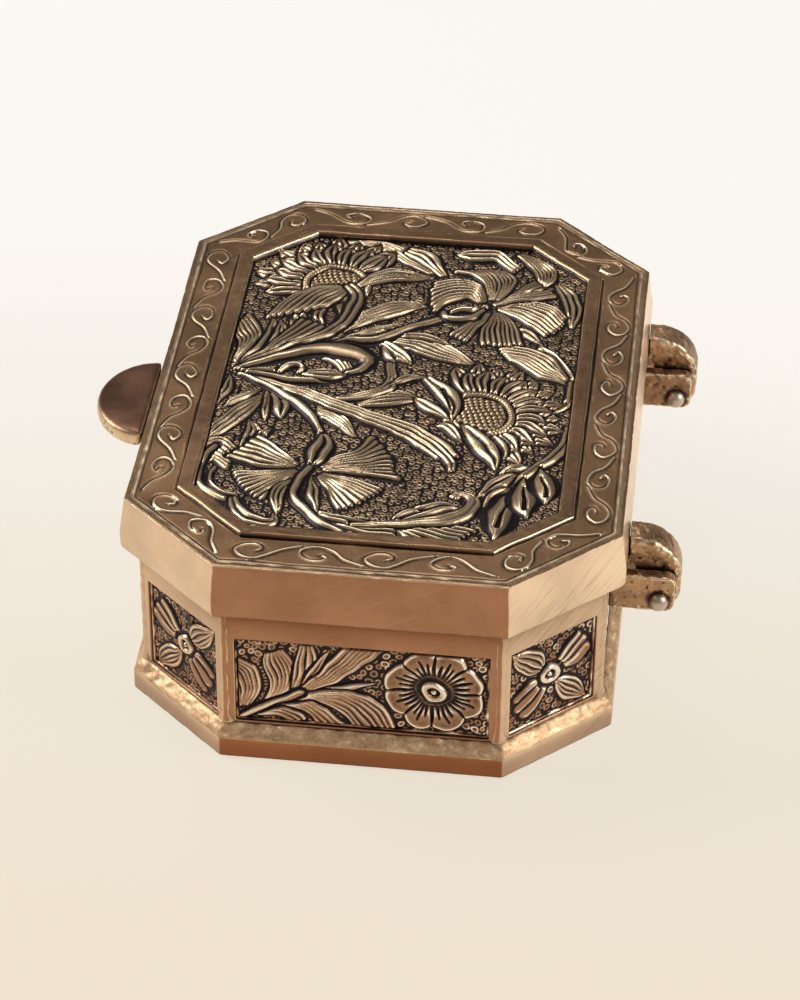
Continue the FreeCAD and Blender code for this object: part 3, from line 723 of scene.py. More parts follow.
    # Drop leaves, lower right
    blade((25.6, 29.8, 27.2, 26.6, 31, 23.6), 1.2, 2, 1)
    blade((28, 27.8, 32.4, 23.8, 37, 20), 1.8, 2)
    blade((33, 26.4, 36.4, 23.4, 40, 21.4), 1.3, 2)
    blade((33.4, 26.8, 41, 25.2, 50.2, 24.8), 2.8, 1, 0.95, belly=0.58, blunt=0.0)
    blade((29.8, 28.8, 36.6, 29, 43.2, 30.6), 2.8, 1, 0.95, belly=0.58, blunt=0.0)
    blade((26.4, 31.8, 32, 33, 38, 33.6), 2.6, 1, 0.95, belly=0.55, blunt=0.0)
    for slot in ((46.4, 25, 38, 26), (40.4, 29.8, 33, 28.8), (35.6, 33.4, 29.6, 32.4), (2, 9.2, 9, 12.2)):
        relief.stroke(slot, 0.55)


def draw_end_panel(relief):
    """Spray of leaves from one lower corner and a round flower, as on each end of the box."""
    fan, blade, ribbon = relief.fan, relief.blade, relief.ribbon
    fan((-25.4, -7, -26.4, -2, -27, 2.4), (-22.6, -7, -20.2, -1.6, -20.8, 3, -24.8, 5.4), 7)
    fan((-20.4, -6.4, -18.6, -1, -19.4, 4, -19.4, 7.4), (-16, -3.4, -13.4, 0, -13.2, 4, -15.8, 8.2), 7)
    fan((-14.4, -1.6, -13.8, 4, -12.6, 10.6), (-12, -0.2, -9.4, 3.6, -9.2, 7.4, -10.2, 10.4), 4)
    fan((-22, -8.2, -17, -6.4, -13, -7.4, -11.4, -9.4), (-22, -9.2, -18, -9, -15, -10.4), 3)
    fan((-21.6, -7.6, -14, -4.2, -8, -5.6, -3.6, -10), (-21.6, -8.4, -15, -6, -11, -8, -9.4, -10.6), 4)
    blade((-12.6, -0.8, -9.2, 4.6, -6.4, 9), 1.1, 2, 0.8)
    blade((-9, -1.6, -2, 0, 2.6, 1.6), 0.9, 1)
    fan((-13, -1.4, -8, 4.4, -3.4, 10.6), (-12.4, -3, -3.6, 2, 4.8, 10.4), 6, 1)
    fan((-17, -4.2, -8, -1.6, 0, -1.4, 4, -4.4, 7, -9.4), (-17, -5.2, -10, -4, -5, -6.2, -2, -10.6), 7, 1)
    ribbon((-24.6, -10, -22, -7.8, -17, -5, -12.6, -2.2), (0.7, 0.8, 0.9, 1.0), 1)
    round_flower(relief, (14.5, 0.6))


def round_flower(relief, heart):
    """Flower of eight broad petals with dark strokes, round a ring with a dot."""
    relief.lobed(heart, 9.2, 1.3, 8, 0.95)
    for petal in range(8):
        for turn, inner, outer, width in STROKES:
            toward = math.radians(45 * petal + turn)
            way = np.array([math.cos(toward), math.sin(toward)])
            relief.stroke([heart + inner * way, heart + outer * way], width)
    relief.boss(heart, 3.9, 0.04)
    relief.boss(heart, 2.7, 0.95, hollow=1.1)
    relief.boss(heart, 0.8, 1)


def draw_long_panel(relief):
    """The same spray and flower to both sides of a middle flower, as on the two long sides."""
    for mirror in (1, -1):
        part = relief.moved(21.5 * MM - relief.x * mirror)
        draw_end_panel(part)
        keep = relief.x >= 0 if mirror == 1 else relief.x < 0
        for field in ("height", "crest", "room"):
            setattr(relief, field, np.where(keep, getattr(part, field), getattr(relief, field)))
    round_flower(relief, (0, 0.4))


def draw_corner_panel(relief):
    """Two long and two broad petals set cornerwise round a ring with a dot."""
    fan, blade = relief.fan, relief.blade
    fan((-2.4, 0.2, -6, 0.8, -9.4, -1.6), (-1, -2.2, -2.6, -5.8, -5.4, -8.8), 3, crown=0.14)
    fan((1.2, 2.8, 3.4, 6.4, 6.8, 8.6), (2.4, 0.8, 6.2, 0, 9.6, 1.8), 3, crown=0.14)
    blade((-1.8, 2.4, -5.4, 5.8, -10, 9.8), 2.9, 5, belly=0.42, blunt=0.0)
    blade((1.2, -2, 5, -5.8, 9.4, -10), 2.9, 5, belly=0.42, blunt=0.0)
    relief.boss((-0.3, 0.6), 3.1, 0.04)
    relief.boss((-0.3, 0.6), 2.5, 1, hollow=1.1)
    relief.boss((-0.3, 0.6), 0.7, 1)


def only(obj):
    """Select one object and nothing else."""
    bpy.ops.object.select_all(action="DESELECT")
    obj.select_set(True)
    bpy.context.view_layer.objects.active = obj


def read_points(obj, what="co"):
    """Points of a mesh, or their normals."""
    flat = np.zeros(len(obj.data.vertices) * 3)
    obj.data.vertices.foreach_get(what, flat)
    return flat.reshape(-1, 3)


def move_points(obj, points):
    """Move the points of a mesh to other places."""
    obj.data.vertices.foreach_set("co", points.reshape(-1))
    obj.data.update()


def grid_of(name, points):
    """Grid primitive whose points are moved to the given rows of points."""
    rows, columns = points.shape[:2]
    bpy.ops.object.select_all(action="DESELECT")
    bpy.ops.mesh.primitive_grid_add(x_subdivisions=columns - 1, y_subdivisions=rows - 1, size=1)
    obj = bpy.context.object
    obj.name = name
    obj.data.name = name
    move_points(obj, points)
    return obj


def mark(obj, worn):
    """Keep how bright each point of a mesh is, from rubbed wear and painted light, for its finish to read."""
    attribute = obj.data.attributes.new("worn", "FLOAT", "POINT")
    attribute.data.foreach_set("value", np.clip(worn, 0, 1).astype(np.float32).reshape(-1))


def edit(obj, *steps):
    """Run edit-mode steps on one object, each with its whole mesh selected."""
    only(obj)
    bpy.ops.object.mode_set(mode="EDIT")
    bpy.ops.mesh.select_mode(type="VERT")
    for step in steps:
        bpy.ops.mesh.select_all(action="SELECT")
        step()
    bpy.ops.object.mode_set(mode="OBJECT")


def merge():
    """Merge points that lie on each other."""
    bpy.ops.mesh.remove_doubles(threshold=0.001 * MM)


def fill():
    """Close every hole, however many sides it has."""
    bpy.ops.mesh.fill_holes(sides=0)


def outwards():
    """Turn all normals outwards."""
    bpy.ops.mesh.normals_make_consistent(inside=False)


def smooth_faces(obj, degrees):
    """Shade smoothly, but for edges sharper than an angle."""
    only(obj)
    bpy.ops.object.shade_smooth_by_angle(angle=math.radians(degrees))


def closed_band(name, points, degrees, worn=None):
    """Closed body from rows of points, its seams merged and its open ends filled."""
    obj = grid_of(name, points)
    if worn is not None:
        mark(obj, worn)
    edit(obj, merge, fill, outwards)
    smooth_faces(obj, degrees)
    return obj


def plate(name, points, worn, level, steps=()):
    """Relief as a plate: its rim goes straight back to a flat face at one level."""
    def push_back():
        bpy.ops.mesh.select_all(action="DESELECT")
        bpy.ops.mesh.select_non_manifold(extend=False, use_wire=False, use_boundary=True,
                                         use_multi_face=False, use_non_contiguous=False, use_verts=False)
        bpy.ops.mesh.extrude_region_move()
        bpy.ops.transform.resize(value=(1, 1, 0), center_override=(0, 0, level))
        bpy.ops.mesh.edge_face_add()
    obj = grid_of(name, points)
    mark(obj, worn)
    edit(obj, *steps, push_back, outwards)
    return obj


def finish_named(name):
    """Finish made before."""
    material = bpy.data.materials.get(name)
    if material is None:
        raise RuntimeError("run the brass finishes first")
    return material


def wear(obj, material):
    """Put one finish on a piece."""
    obj.data.materials.clear()
    obj.data.materials.append(material)


def settle(obj, finish, body, slot, *nodes):
    """Put its finish on a piece and give it to its body, in place of its solids; its slot is not used."""
    wear(obj, finish_named(finish))
    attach(obj, body)
    if nodes:
        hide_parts(*nodes)


def tinted(tone, by):
    """A colour made darker or paler."""
    return [min(1, by * part) for part in tone]


class Value:
    """One output of a material's nodes, so that shader maths reads as plain expressions."""

    def __init__(self, finish, socket):
        self.finish = finish
        self.socket = socket

    def math(self, operation, *others):
        """One Math node on this value and others."""
        return self.finish.node("ShaderNodeMath", {"operation": operation}, dict(enumerate((self,) + others)))

    def __add__(self, other):
        return self.math("ADD", other)

    def __sub__(self, other):
        return self.math("SUBTRACT", other)

    def __rsub__(self, other):
        return self.finish.node("ShaderNodeMath", {"operation": "SUBTRACT"}, {0: other, 1: self})

    def __mul__(self, other):
        return self.math("MULTIPLY", other)

    __radd__ = __add__
    __rmul__ = __mul__

    def between(self, low, high):
        """0 up to low, 1 from high, and a soft step in between."""
        inputs = {"Value": self, "From Min": low, "From Max": high}
        return self.finish.node("ShaderNodeMapRange", {"interpolation_type": "SMOOTHSTEP"}, inputs)


class Finish:
    """A brass finish made of shader nodes."""

    def __init__(self, name):
        self.material = bpy.data.materials.new(name)
        self.material.use_nodes = True
        self.tree = self.material.node_tree
        self.shader = self.tree.nodes["Principled BSDF"]
        self.place = self.node("ShaderNodeTexCoord", output="Object")

    def node(self, kind, settings=None, inputs=None, output=0):
        """Add any node: its settings first, then the values or links of its sockets."""
        made = self.tree.nodes.new(kind)
        for key, value in (settings or {}).items():
            setattr(made, key, value)
        for key, value in (inputs or {}).items():
            self.feed(made.inputs[key], value)
        return Value(self, made.outputs[output])

    def feed(self, socket, value):
        """Link a value to a socket, or set the socket to a constant."""
        if isinstance(value, Value):
            self.tree.links.new(value.socket, socket)
        elif hasattr(value, "__len__") and len(value) == 3 and socket.type == "RGBA":
            socket.default_value = (*value, 1)
        else:
            socket.default_value = value

    def part(self, vector, axis):
        """One component of a vector."""
        return self.node("ShaderNodeSeparateXYZ", inputs={0: vector}, output=axis)

    def facing(self, axis):
        """How far the surface faces along an axis."""
        return self.part(self.node("ShaderNodeNewGeometry", output="Normal"), axis)

    def worn(self):
        """How bright the mesh is, from rubbed wear and painted light."""
        return self.node("ShaderNodeAttribute", {"attribute_name": "worn"}, output="Fac")

    def noise(self, scale, detail=4.0, roughness=0.55, stretch=(1, 1, 1), turn=(0, 0, 0)):
        """Noise of so many bumps a metre, stretched along axes turned with it."""
        inputs = {"Vector": self.place, "Scale": [1 / s for s in stretch], "Rotation": turn}
        mapped = self.node("ShaderNodeMapping", {"vector_type": "TEXTURE"}, inputs)
        inputs = {"Vector": mapped, "Scale": scale, "Detail": detail, "Roughness": roughness}
        return self.node("ShaderNodeTexNoise", inputs=inputs)

    def hairlines(self):
        """Fine upright brush lines."""
        return self.noise(5200, 2, 0.5, (0.04, 0.04, 1))

    def blend(self, factor, first, second, mode="MIX"):
        """Mix of two tones."""
        settings = {"data_type": "RGBA", "blend_type": mode, "clamp_factor": True}
        return self.node("ShaderNodeMix", settings, {0: factor, 6: first, 7: second}, output=2)

    def coats(self, base, *coats):
        """A tone with others laid over it, each through its own mask."""
        for mask, tone in coats:
            base = self.blend(mask, base, tone)
        return base

    def hollow(self, reach):
        """1 deep in a corner and 0 on open faces."""
        return 1 - self.node("ShaderNodeAmbientOcclusion", {"samples": 8}, {"Distance": reach}, output="AO")

    def edge(self, radius):
        """1 on sharp edges and 0 on flat faces."""
        rounded = self.node("ShaderNodeBevel", {"samples": 6}, {"Radius": radius})
        plain = self.node("ShaderNodeNewGeometry", output="Normal")
        settings = {"operation": "DOT_PRODUCT"}
        return 1 - self.node("ShaderNodeVectorMath", settings, {0: rounded, 1: plain}, output="Value")

    def bump(self, height, distance, strength):
        """Fine relief of the surface."""
        inputs = {"Height": height, "Distance": distance, "Strength": strength}
        return self.node("ShaderNodeBump", inputs=inputs)

    def surface(self, tone, roughness, normal, metallic=1.0):
        """Feed the shader."""
        inputs = {"Base Color": tone, "Roughness": roughness, "Normal": normal, "Metallic": metallic}
        for key, value in inputs.items():
            self.feed(self.shader.inputs[key], value)


def painted_light_by_facing(f, satin, bright):
    """Tone of an upright face in painted light: copper brown on both ends, painted paler to the long sides,
    most on the hinge side.
    """
    ahead, aside = f.facing("X"), f.facing("Y")
    paler = [min(1, 1.05 * part + 0.06) for part in bright]
    bright = f.blend(aside.between(0.2, 0.7), bright, paler)
    pale = 0.2 * aside.between(0.1, 0.4)
    ahead, aside = ahead.math("ABSOLUTE"), aside.math("ABSOLUTE")
    ahead = (ahead + 0.05).math("DIVIDE", ahead + aside + 0.05) - pale
    return f.blend(ahead.between(0.62, 0.85), bright, satin)


def filed(f, tone, colours):
    """A tone with slanting file marks, plain on the hinge side's slanted corners and faint elsewhere."""
    aside = f.facing("Y")
    hinge_corners = aside.between(0.3, 0.6) - aside.between(0.75, 0.95)
    fine = f.noise(3000, 2, 0.5, (1, 0.02, 0.02), (0, -0.96, -0.785))
    patch = f.noise(70, 3).between(0.3, 0.6) * (0.12 + 0.88 * hinge_corners)
    return f.coats(tone, (fine.between(0.52, 0.3) * patch * 0.45, tinted(colours.satin, 0.45)),
                   (fine.between(0.55, 0.75) * patch * 0.6, tinted(colours.rubbed, 1.15)))


def brushed(f, colours, satin, bright, blotch, extra=None):
    """Upright brushed face: its tone in painted light by facing, soft blotches and file marks."""
    uneven = 0.82 + 0.36 * blotch.between(0.25, 0.75)
    if extra:
        uneven = uneven + extra
    return filed(f, f.blend(1.0, painted_light_by_facing(f, satin, bright), uneven, "MULTIPLY"), colours)


def satin_finish(name, colours, satin, bright, roughness=0.34, dirt_and_shade=1.0, ledge=None):
    """Filed and brushed brass in painted light by facing: faint hairlines, soft blotches, bright edges of
    rubbed wear and painted highlight, dark corners of patina and painted shade, and painted shade below
    overhangs.
    """
    f = Finish(name)
    cloud = f.noise(210, 4)
    hair = f.hairlines()
    grain = f.noise(1500, 6, 0.7)
    # Pale edges: rubbed wear and painted highlight.
    edge = (f.edge(0.4 * MM) * (0.6 + cloud)).between(0.015, 0.14)
    # Dark corners: patina and painted shade.
    corner = (f.hollow(3.5 * MM) * (0.55 + cloud)).between(0.3, 0.75) * dirt_and_shade
    base = brushed(f, colours, satin, bright, f.noise(38, 4), 0.10 * (hair - 0.5))
    # Painted shade: a darker copper copy of the tone below overhangs, as on the band under the lid's skirt.
    shaded = [part * by for part, by in zip(satin, (0.42, 0.26, 0.17))]
    base = f.blend(f.hollow(9 * MM).between(0.0, 0.3) * dirt_and_shade * 0.85, base, shaded)
    if ledge:
        upward = f.facing("Z").between(0.12, 0.4)
        streak = f.noise(900, 5, 0.7, (0.35, 0.35, 1))
        rough_tone = f.coats(tinted(ledge, 0.6), ((streak * 0.5 + grain * 0.5).between(0.36, 0.52), ledge),
                             (streak.between(0.53, 0.66) * 0.9, tinted(colours.rubbed, 1.15)))
        base = f.blend(upward, base, rough_tone)
        roughness = 0.2 * upward + roughness
    base = f.coats(base, (corner * 0.85, colours.patina_and_shade), (edge * 0.8, colours.rubbed))
    rough = roughness + 0.12 * (cloud - 0.5) + 0.06 * (hair - 0.5) + 0.12 * corner - 0.08 * edge
    f.surface(base, rough, f.bump(hair * 0.4 + grain * 0.6, 0.012 * MM, 0.4))


def tab_finish(name, colours):
    """Thumb tab: darker brown on its upward faces, pale down its rounded edge and pitted there."""
    f = Finish(name)
    upward = f.facing("Z").between(0.35, 0.98)
    blotch = f.noise(90, 5)
    grain = f.noise(1500, 6, 0.7)
    pits = f.noise(900, 3, 0.6).between(0.42, 0.34)
    side = f.blend(blotch.between(0.4, 0.6), colours.ledge, colours.rubbed)
    top = f.blend(blotch.between(0.35, 0.65), colours.tab, tinted(colours.tab, 1.7))
    base = f.coats(side, (upward, top), (pits * (1 - upward) * 0.8, colours.patina_and_shade),
                   (f.hollow(3 * MM).between(0.3, 0.8) * 0.8, colours.patina_and_shade))
    rough = 0.36 + 0.14 * (blotch - 0.5) + 0.1 * (grain - 0.5)
    f.surface(base, rough, f.bump(grain, 0.03 * MM, 0.5))


def chased_finish(name, colours, tone, crest, low, high):
    """Chased brass: near black in the hollows, warm on the slopes and pale on the crests, as rubbed wear and
    painted highlight.

    The crests start at a share of wear, and go from a low tone to a high one across the box: painted light,
    shaded towards the tab and lit towards the hinges.
    """
    f = Finish(name)
    grain = f.noise(1700, 6, 0.7)
    cloud = f.noise(120, 5)
    fleck = f.noise(620, 6, 0.75)
    worn = f.worn() + 0.3 * (fleck - 0.5) + 0.26 * (cloud - 0.5) + 0.12 * (grain - 0.5)
    # Painted light: the crests' tone runs from shaded towards the tab to lit towards the hinges.
    pale = f.blend(f.part(f.place, "Y").between(-52 * MM, 52 * MM), low, high)
    hollow = (f.hollow(1.6 * MM) * (0.7 + 0.6 * cloud)).between(0.45, 0.9)
    base = f.coats(colours.patina_and_shade, (worn.between(0.1, 0.42), tone), (worn.between(crest, crest + 0.28), pale),
                   (hollow * 0.75, colours.patina_and_shade))
    rough = 0.34 - 0.12 * worn.between(0.4, 0.9) + 0.12 * (grain - 0.5) + 0.25 * hollow
    f.surface(base, rough, f.bump(grain * 0.5 + fleck * 0.5, 0.05 * MM, 0.55))


def lid_finish(name, colours):
    """Lid casting: brown toned on top, brushed warm on the skirt in painted light by facing, bright along the
    engraved lines and edges as rubbed wear and painted highlight.
    """
    f = Finish(name)
    blotch = f.noise(45, 5)
    cloud = f.noise(240, 5, 0.6)
    grain = f.noise(1700, 6, 0.7)
    hair = f.hairlines()
    upward = f.facing("Z").between(0.55, 0.9)
    # Pale edges: rubbed wear and painted highlight.
    edge = (f.edge(0.5 * MM) * (0.5 + cloud)).between(0.01, 0.08)
    top = f.coats(tinted(colours.border, 0.75), (blotch.between(0.3, 0.7), tinted(colours.border, 1.25)),
                  ((cloud * 0.5 + grain * 0.5).between(0.52, 0.68) * 0.3, colours.ledge),
                  ((cloud * 0.4 + grain * 0.6).between(0.46, 0.34) * 0.5, tinted(colours.border, 0.4)))
    # Pale lips and dark cuts from the worn marks: wear and patina, with painted highlight and shadow along
    # the engraved scroll.
    line = f.worn() + 0.2 * (grain - 0.5)
    base = f.coats(brushed(f, colours, colours.satin, colours.bright, blotch), (upward, top),
                   (1 - line.between(0.16, 0.42), colours.patina_and_shade), (line.between(0.6, 0.9), colours.rubbed),
                   (edge * 0.8, colours.rubbed))
    rough = 0.36 + 0.14 * (cloud - 0.5) + 0.08 * (hair - 0.5) - 0.1 * edge
    f.surface(base, rough, f.bump(hair * 0.3 + grain * 0.7, 0.02 * MM, 0.45))


def cast_finish(name, colours, tone):
    """Rough filed casting: pale on its edges as rubbed wear and painted highlight, near black round the pins,
    and near black in its corners as patina and painted shade.
    """
    f = Finish(name)
    cloud = f.noise(420, 6, 0.65)
    grain = f.noise(1500, 7, 0.75)
    worn = f.worn() + 0.3 * (cloud - 0.5) + 0.25 * (grain - 0.5)
    base = f.coats(tinted(tone, 0.6), (f.noise(110, 4).between(0.3, 0.7), tinted(tone, 1.35)),
                   ((cloud * 0.6 + grain * 0.4).between(0.52, 0.68) * 0.5, colours.rubbed),
                   ((cloud * 0.5 + grain * 0.5).between(0.45, 0.33) * 0.6, colours.patina_and_shade))
    for pin in ("left_hinge_pin", "right_hinge_pin"):
        centre = (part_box(pin)[0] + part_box(pin)[1]) / 2
        away = f.node("ShaderNodeVectorMath", {"operation": "SUBTRACT"}, {0: f.place, 1: centre})
        along, upright = f.part(away, "Y"), f.part(away, "Z")
        gap = (along * along + upright * upright).math("SQRT") + 1.6 * MM * (cloud - 0.5)
        base = f.blend(gap.between(3.1 * MM, 1.9 * MM) * 0.8, base, colours.patina_and_shade)
    # Dark corners and gaps between the parts: patina and painted shade.
    corner = (f.hollow(3 * MM) * (0.6 + cloud)).between(0.3, 0.75)
    # Pale edges where the casting stands proud: rubbed wear and painted highlight.
    base = f.coats(base, (worn.between(0.42, 0.16) * 0.95, colours.patina_and_shade),
                   (worn.between(0.66, 0.92) * 0.95, colours.rubbed), (corner * 0.9, colours.patina_and_shade))
    rough = 0.38 + 0.2 * (grain - 0.5) + 0.12 * corner
    f.surface(base, rough, f.bump(cloud * 0.6 + grain * 0.4, 0.09 * MM, 0.6))


class BETELBOX_OT_finishes(bpy.types.Operator):
    """Make the brass finishes and put them on the solids that stay"""

    bl_idname = "betelbox.finishes"
    bl_label = "Brass finishes"

    def execute(self, context):
        colours = context.scene.betel_colours
        satin_finish("aged_satin", colours, colours.satin, colours.wall)
        tab_finish("aged_tab", colours)
        satin_finish("aged_foot", colours, colours.foot, colours.bright, 0.36, 0.7, colours.ledge)
        satin_finish("aged_inside", colours, colours.inside, colours.inside, 0.5, 0.7)
        satin_finish("aged_pin", colours, colours.pin, colours.pin, 0.4)
        cast_finish("aged_hinge", colours, colours.hinge)
        crests = tinted(colours.rubbed, 0.88)
        chased_finish("aged_lid_flowers", colours, colours.chased, 0.52, crests, crests)
        chased_finish("aged_side_flowers", colours, colours.side, 0.49, colours.side_crest_shaded, colours.side_crest_lit)
        lid_finish("aged_lid", colours)
        chosen = {"floor_plate": "aged_inside", "left_hinge_pin": "aged_pin", "right_hinge_pin": "aged_pin"}
        for node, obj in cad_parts.items():
            wear(obj, finish_named(chosen.get(node, "aged_satin")))
        return {"FINISHED"}


def trim_steps(points, offset):
    """Edit-mode steps that cut a rectangular relief along the slanted sides of the plan that it reaches."""
    steps = []
    for index in (1, 3, 5, 7):
        middle, _, outward, _ = side_axes(index, offset)
        if points[..., 0].min() - CUT_ALONG < middle[0] < points[..., 0].max() + CUT_ALONG:
            steps.append(lambda m=middle, o=outward: bpy.ops.mesh.bisect(plane_co=(*m, 0), plane_no=(*o, 0),
                                                                         clear_outer=True))
    return steps


def field_grid(low, high, step):
    """Places along and up a field between two corners, about a step apart."""
    return np.meshgrid(*(np.linspace(low[k], high[k], round((high[k] - low[k]) / step) + 1) for k in (0, 1)))


class BETELBOX_OT_lid_relief(bpy.types.Operator):
    """Chase the flowers of the lid's panel"""

    bl_idname = "betelbox.lid_relief"
    bl_label = "Lid relief"

    def execute(self, context):
        sizes = context.scene.betel_chasing
        step = sizes.lid_step * 1
        x, y = field_grid(PLATE_LOW, PLATE_HIGH, step)
        flat = spots(x, y)
        stray = [sizes.stray * unevenness(flat, 7, LID_STRAY_SEED + k) for k in (0, 1)]
        relief = Relief(x + stray[0], y + stray[1], sizes.lid_lift, sizes.edge, sizes.furrow)
        draw_lid_flowers(relief)
        depth = inside_octagon(flat, -STRIP_INSET - STRIP_WIDTH)
        relief.room = np.minimum(relief.room, depth)
        relief.beads(sizes.bead_pitch, sizes.bead_lift, LID_BEAD_SEED, 0.2)
        relief.height = soften(relief.height, 1) + 0.05 * MM * unevenness(flat, 7, LID_GROUND_SEED)
        relief.height *= smooth(depth / (1.2 * sizes.furrow))
        worn = relief.wear_and_painted_light(step)
        margin = 1 - smooth((depth + 0.1 * MM) / (0.5 * sizes.edge))
        level = LID_TOP - LID_GROUND + relief.height * (1 - margin) + LID_GROUND * margin
        whole = spots(x, y, level)
        third = x.shape[1] // 3
        parts = {"back": (0, third + 1), "middle": (third, 2 * third + 1), "front": (2 * third, None)}
        for name, (start, end) in parts.items():
            points = whole[:, start:end]
            trims = trim_steps(points, -POCKET_INSET - SEAM)
            obj = plate("lid_flowers_" + name, points, worn[:, start:end], PLATE_LOW.z, trims)
            smooth_faces(obj, RELIEF_CREASE)
            settle(obj, "aged_lid_flowers", "lid", "chased_brass", "lid_relief_plate")
        return {"FINISHED"}


def ring_points(rows, shares):
    """Rows of points round the plan, one for each pair of offset and level."""
    return np.array([spots(*plan_ring(offset, shares).T, level) for offset, level in rows])


def eased(points):
    """Corners of a ring rounded off by averaging along it twice."""
    open_ring = points[:, :-1]
    for _ in range(2):
        open_ring = (np.roll(open_ring, 1, 1) + 2 * open_ring + np.roll(open_ring, -1, 1)) / 4
    return np.concatenate([open_ring, open_ring[:, :1]], axis=1)


def section(corners, steps):
    """Offset and level pairs along a section's corners, with its own longest step for each run."""
    rows = []
    for first, last, step in zip(corners, corners[1:], steps):
        count = max(1, math.ceil(math.dist(first, last) / step))
        rows += [tuple(first[k] + (last[k] - first[k]) * i / count for k in (0, 1)) for i in range(count)]
    return rows + [corners[-1]]


class BETELBOX_OT_lid_border(bpy.types.Operator):
    """Engrave the running scroll on the lid's border"""

    bl_idname = "betelbox.lid_border"
    bl_label = "Lid border"

    def execute(self, context):
        sizes = context.scene.betel_engraving
        quick = 1
        shares = round_the_plan(sizes.step_along * quick)
        outer, inner = -sizes.rim - SEAM, -POCKET_INSET + SEAM
        foot = LID_TOP - BORDER_DEPTH
        top = section([(outer, LID_TOP), (inner, LID_TOP)], [sizes.step_across * quick])
        points = ring_points(top, shares)
        relief = Relief(points[..., 0], points[..., 1], 0, 0.3 * MM, 0.3 * MM)
        self.scrolls(relief, sizes)
        flat = points * (1, 1, 0)
        stray = unevenness(flat, 16, BORDER_SEED)
        rough = unevenness(flat, 3.2, BORDER_SEED + 1)
        # Distances in from the border's outer edge and past the strip's edge, in millimetres
        depth = np.array([offset for offset, _ in top])[:, None] * np.ones(points.shape[1])
        inwards = (outer - depth) / MM
        to_strip = (-depth - STRIP_INSET) / MM + 0.15 * stray
        lip = bell((inwards - 0.5) / 0.42)
        line = bell((inwards - 1.12 - 0.1 * stray) / 0.14)
        shade = bell(inwards / 0.22)
        moat = smooth((to_strip + 0.55) / 0.3)
        ridge = bell((to_strip + 0.8) / 0.24)
        relief.height += MM * (0.05 * rough * lip - 0.3 * moat - 0.12 * line + 0.03 * stray - 0.06)
        worn = 0.5 + 0.5 * relief.painted_cut_shading - 0.5 * moat - 0.5 * shade + (0.16 + 0.06 * rough) * ridge
        worn += (0.34 + 0.07 * rough) * lip - 0.42 * line
        points[..., 2] = np.minimum(points[..., 2] + relief.height, STRIP_HIGH.z)
        back = ring_points([(inner, foot), (outer, foot)], shares)
        whole = np.concatenate([points, back, points[:1]])
        tone = np.concatenate([worn, np.full((2, depth.shape[1]), 0.5), worn[:1]])
        obj = closed_band("lid_scroll_border", eased(whole), BORDER_CREASE, tone)
        settle(obj, "aged_lid", "lid", "lid_brass")
        return {"FINISHED"}

    def scrolls(self, relief, sizes):
        """Curl after curl along each side, swinging to alternate sides of the middle line."""
        curl = np.array(CURL)
        random = np.random.default_rng(SCROLL_SEED)
        for index in range(8):
            middle, along, outward, run = side_axes(index, -sizes.centre)
            run -= SCROLL_ENDS
            count = max(1, round(run / sizes.pitch))
            pitch = run / count
            for number in range(count):
                flip = 1 if number % 2 else -1
                places = curl + random.uniform(-0.03, 0.03, curl.shape)
                reach = -run / 2 + (number + places[:, :1]) * pitch
                line = middle + along * reach + outward * places[:, 1:] * flip * sizes.reach
                relief.cut_line(line, sizes.line, sizes.burr, sizes.depth)


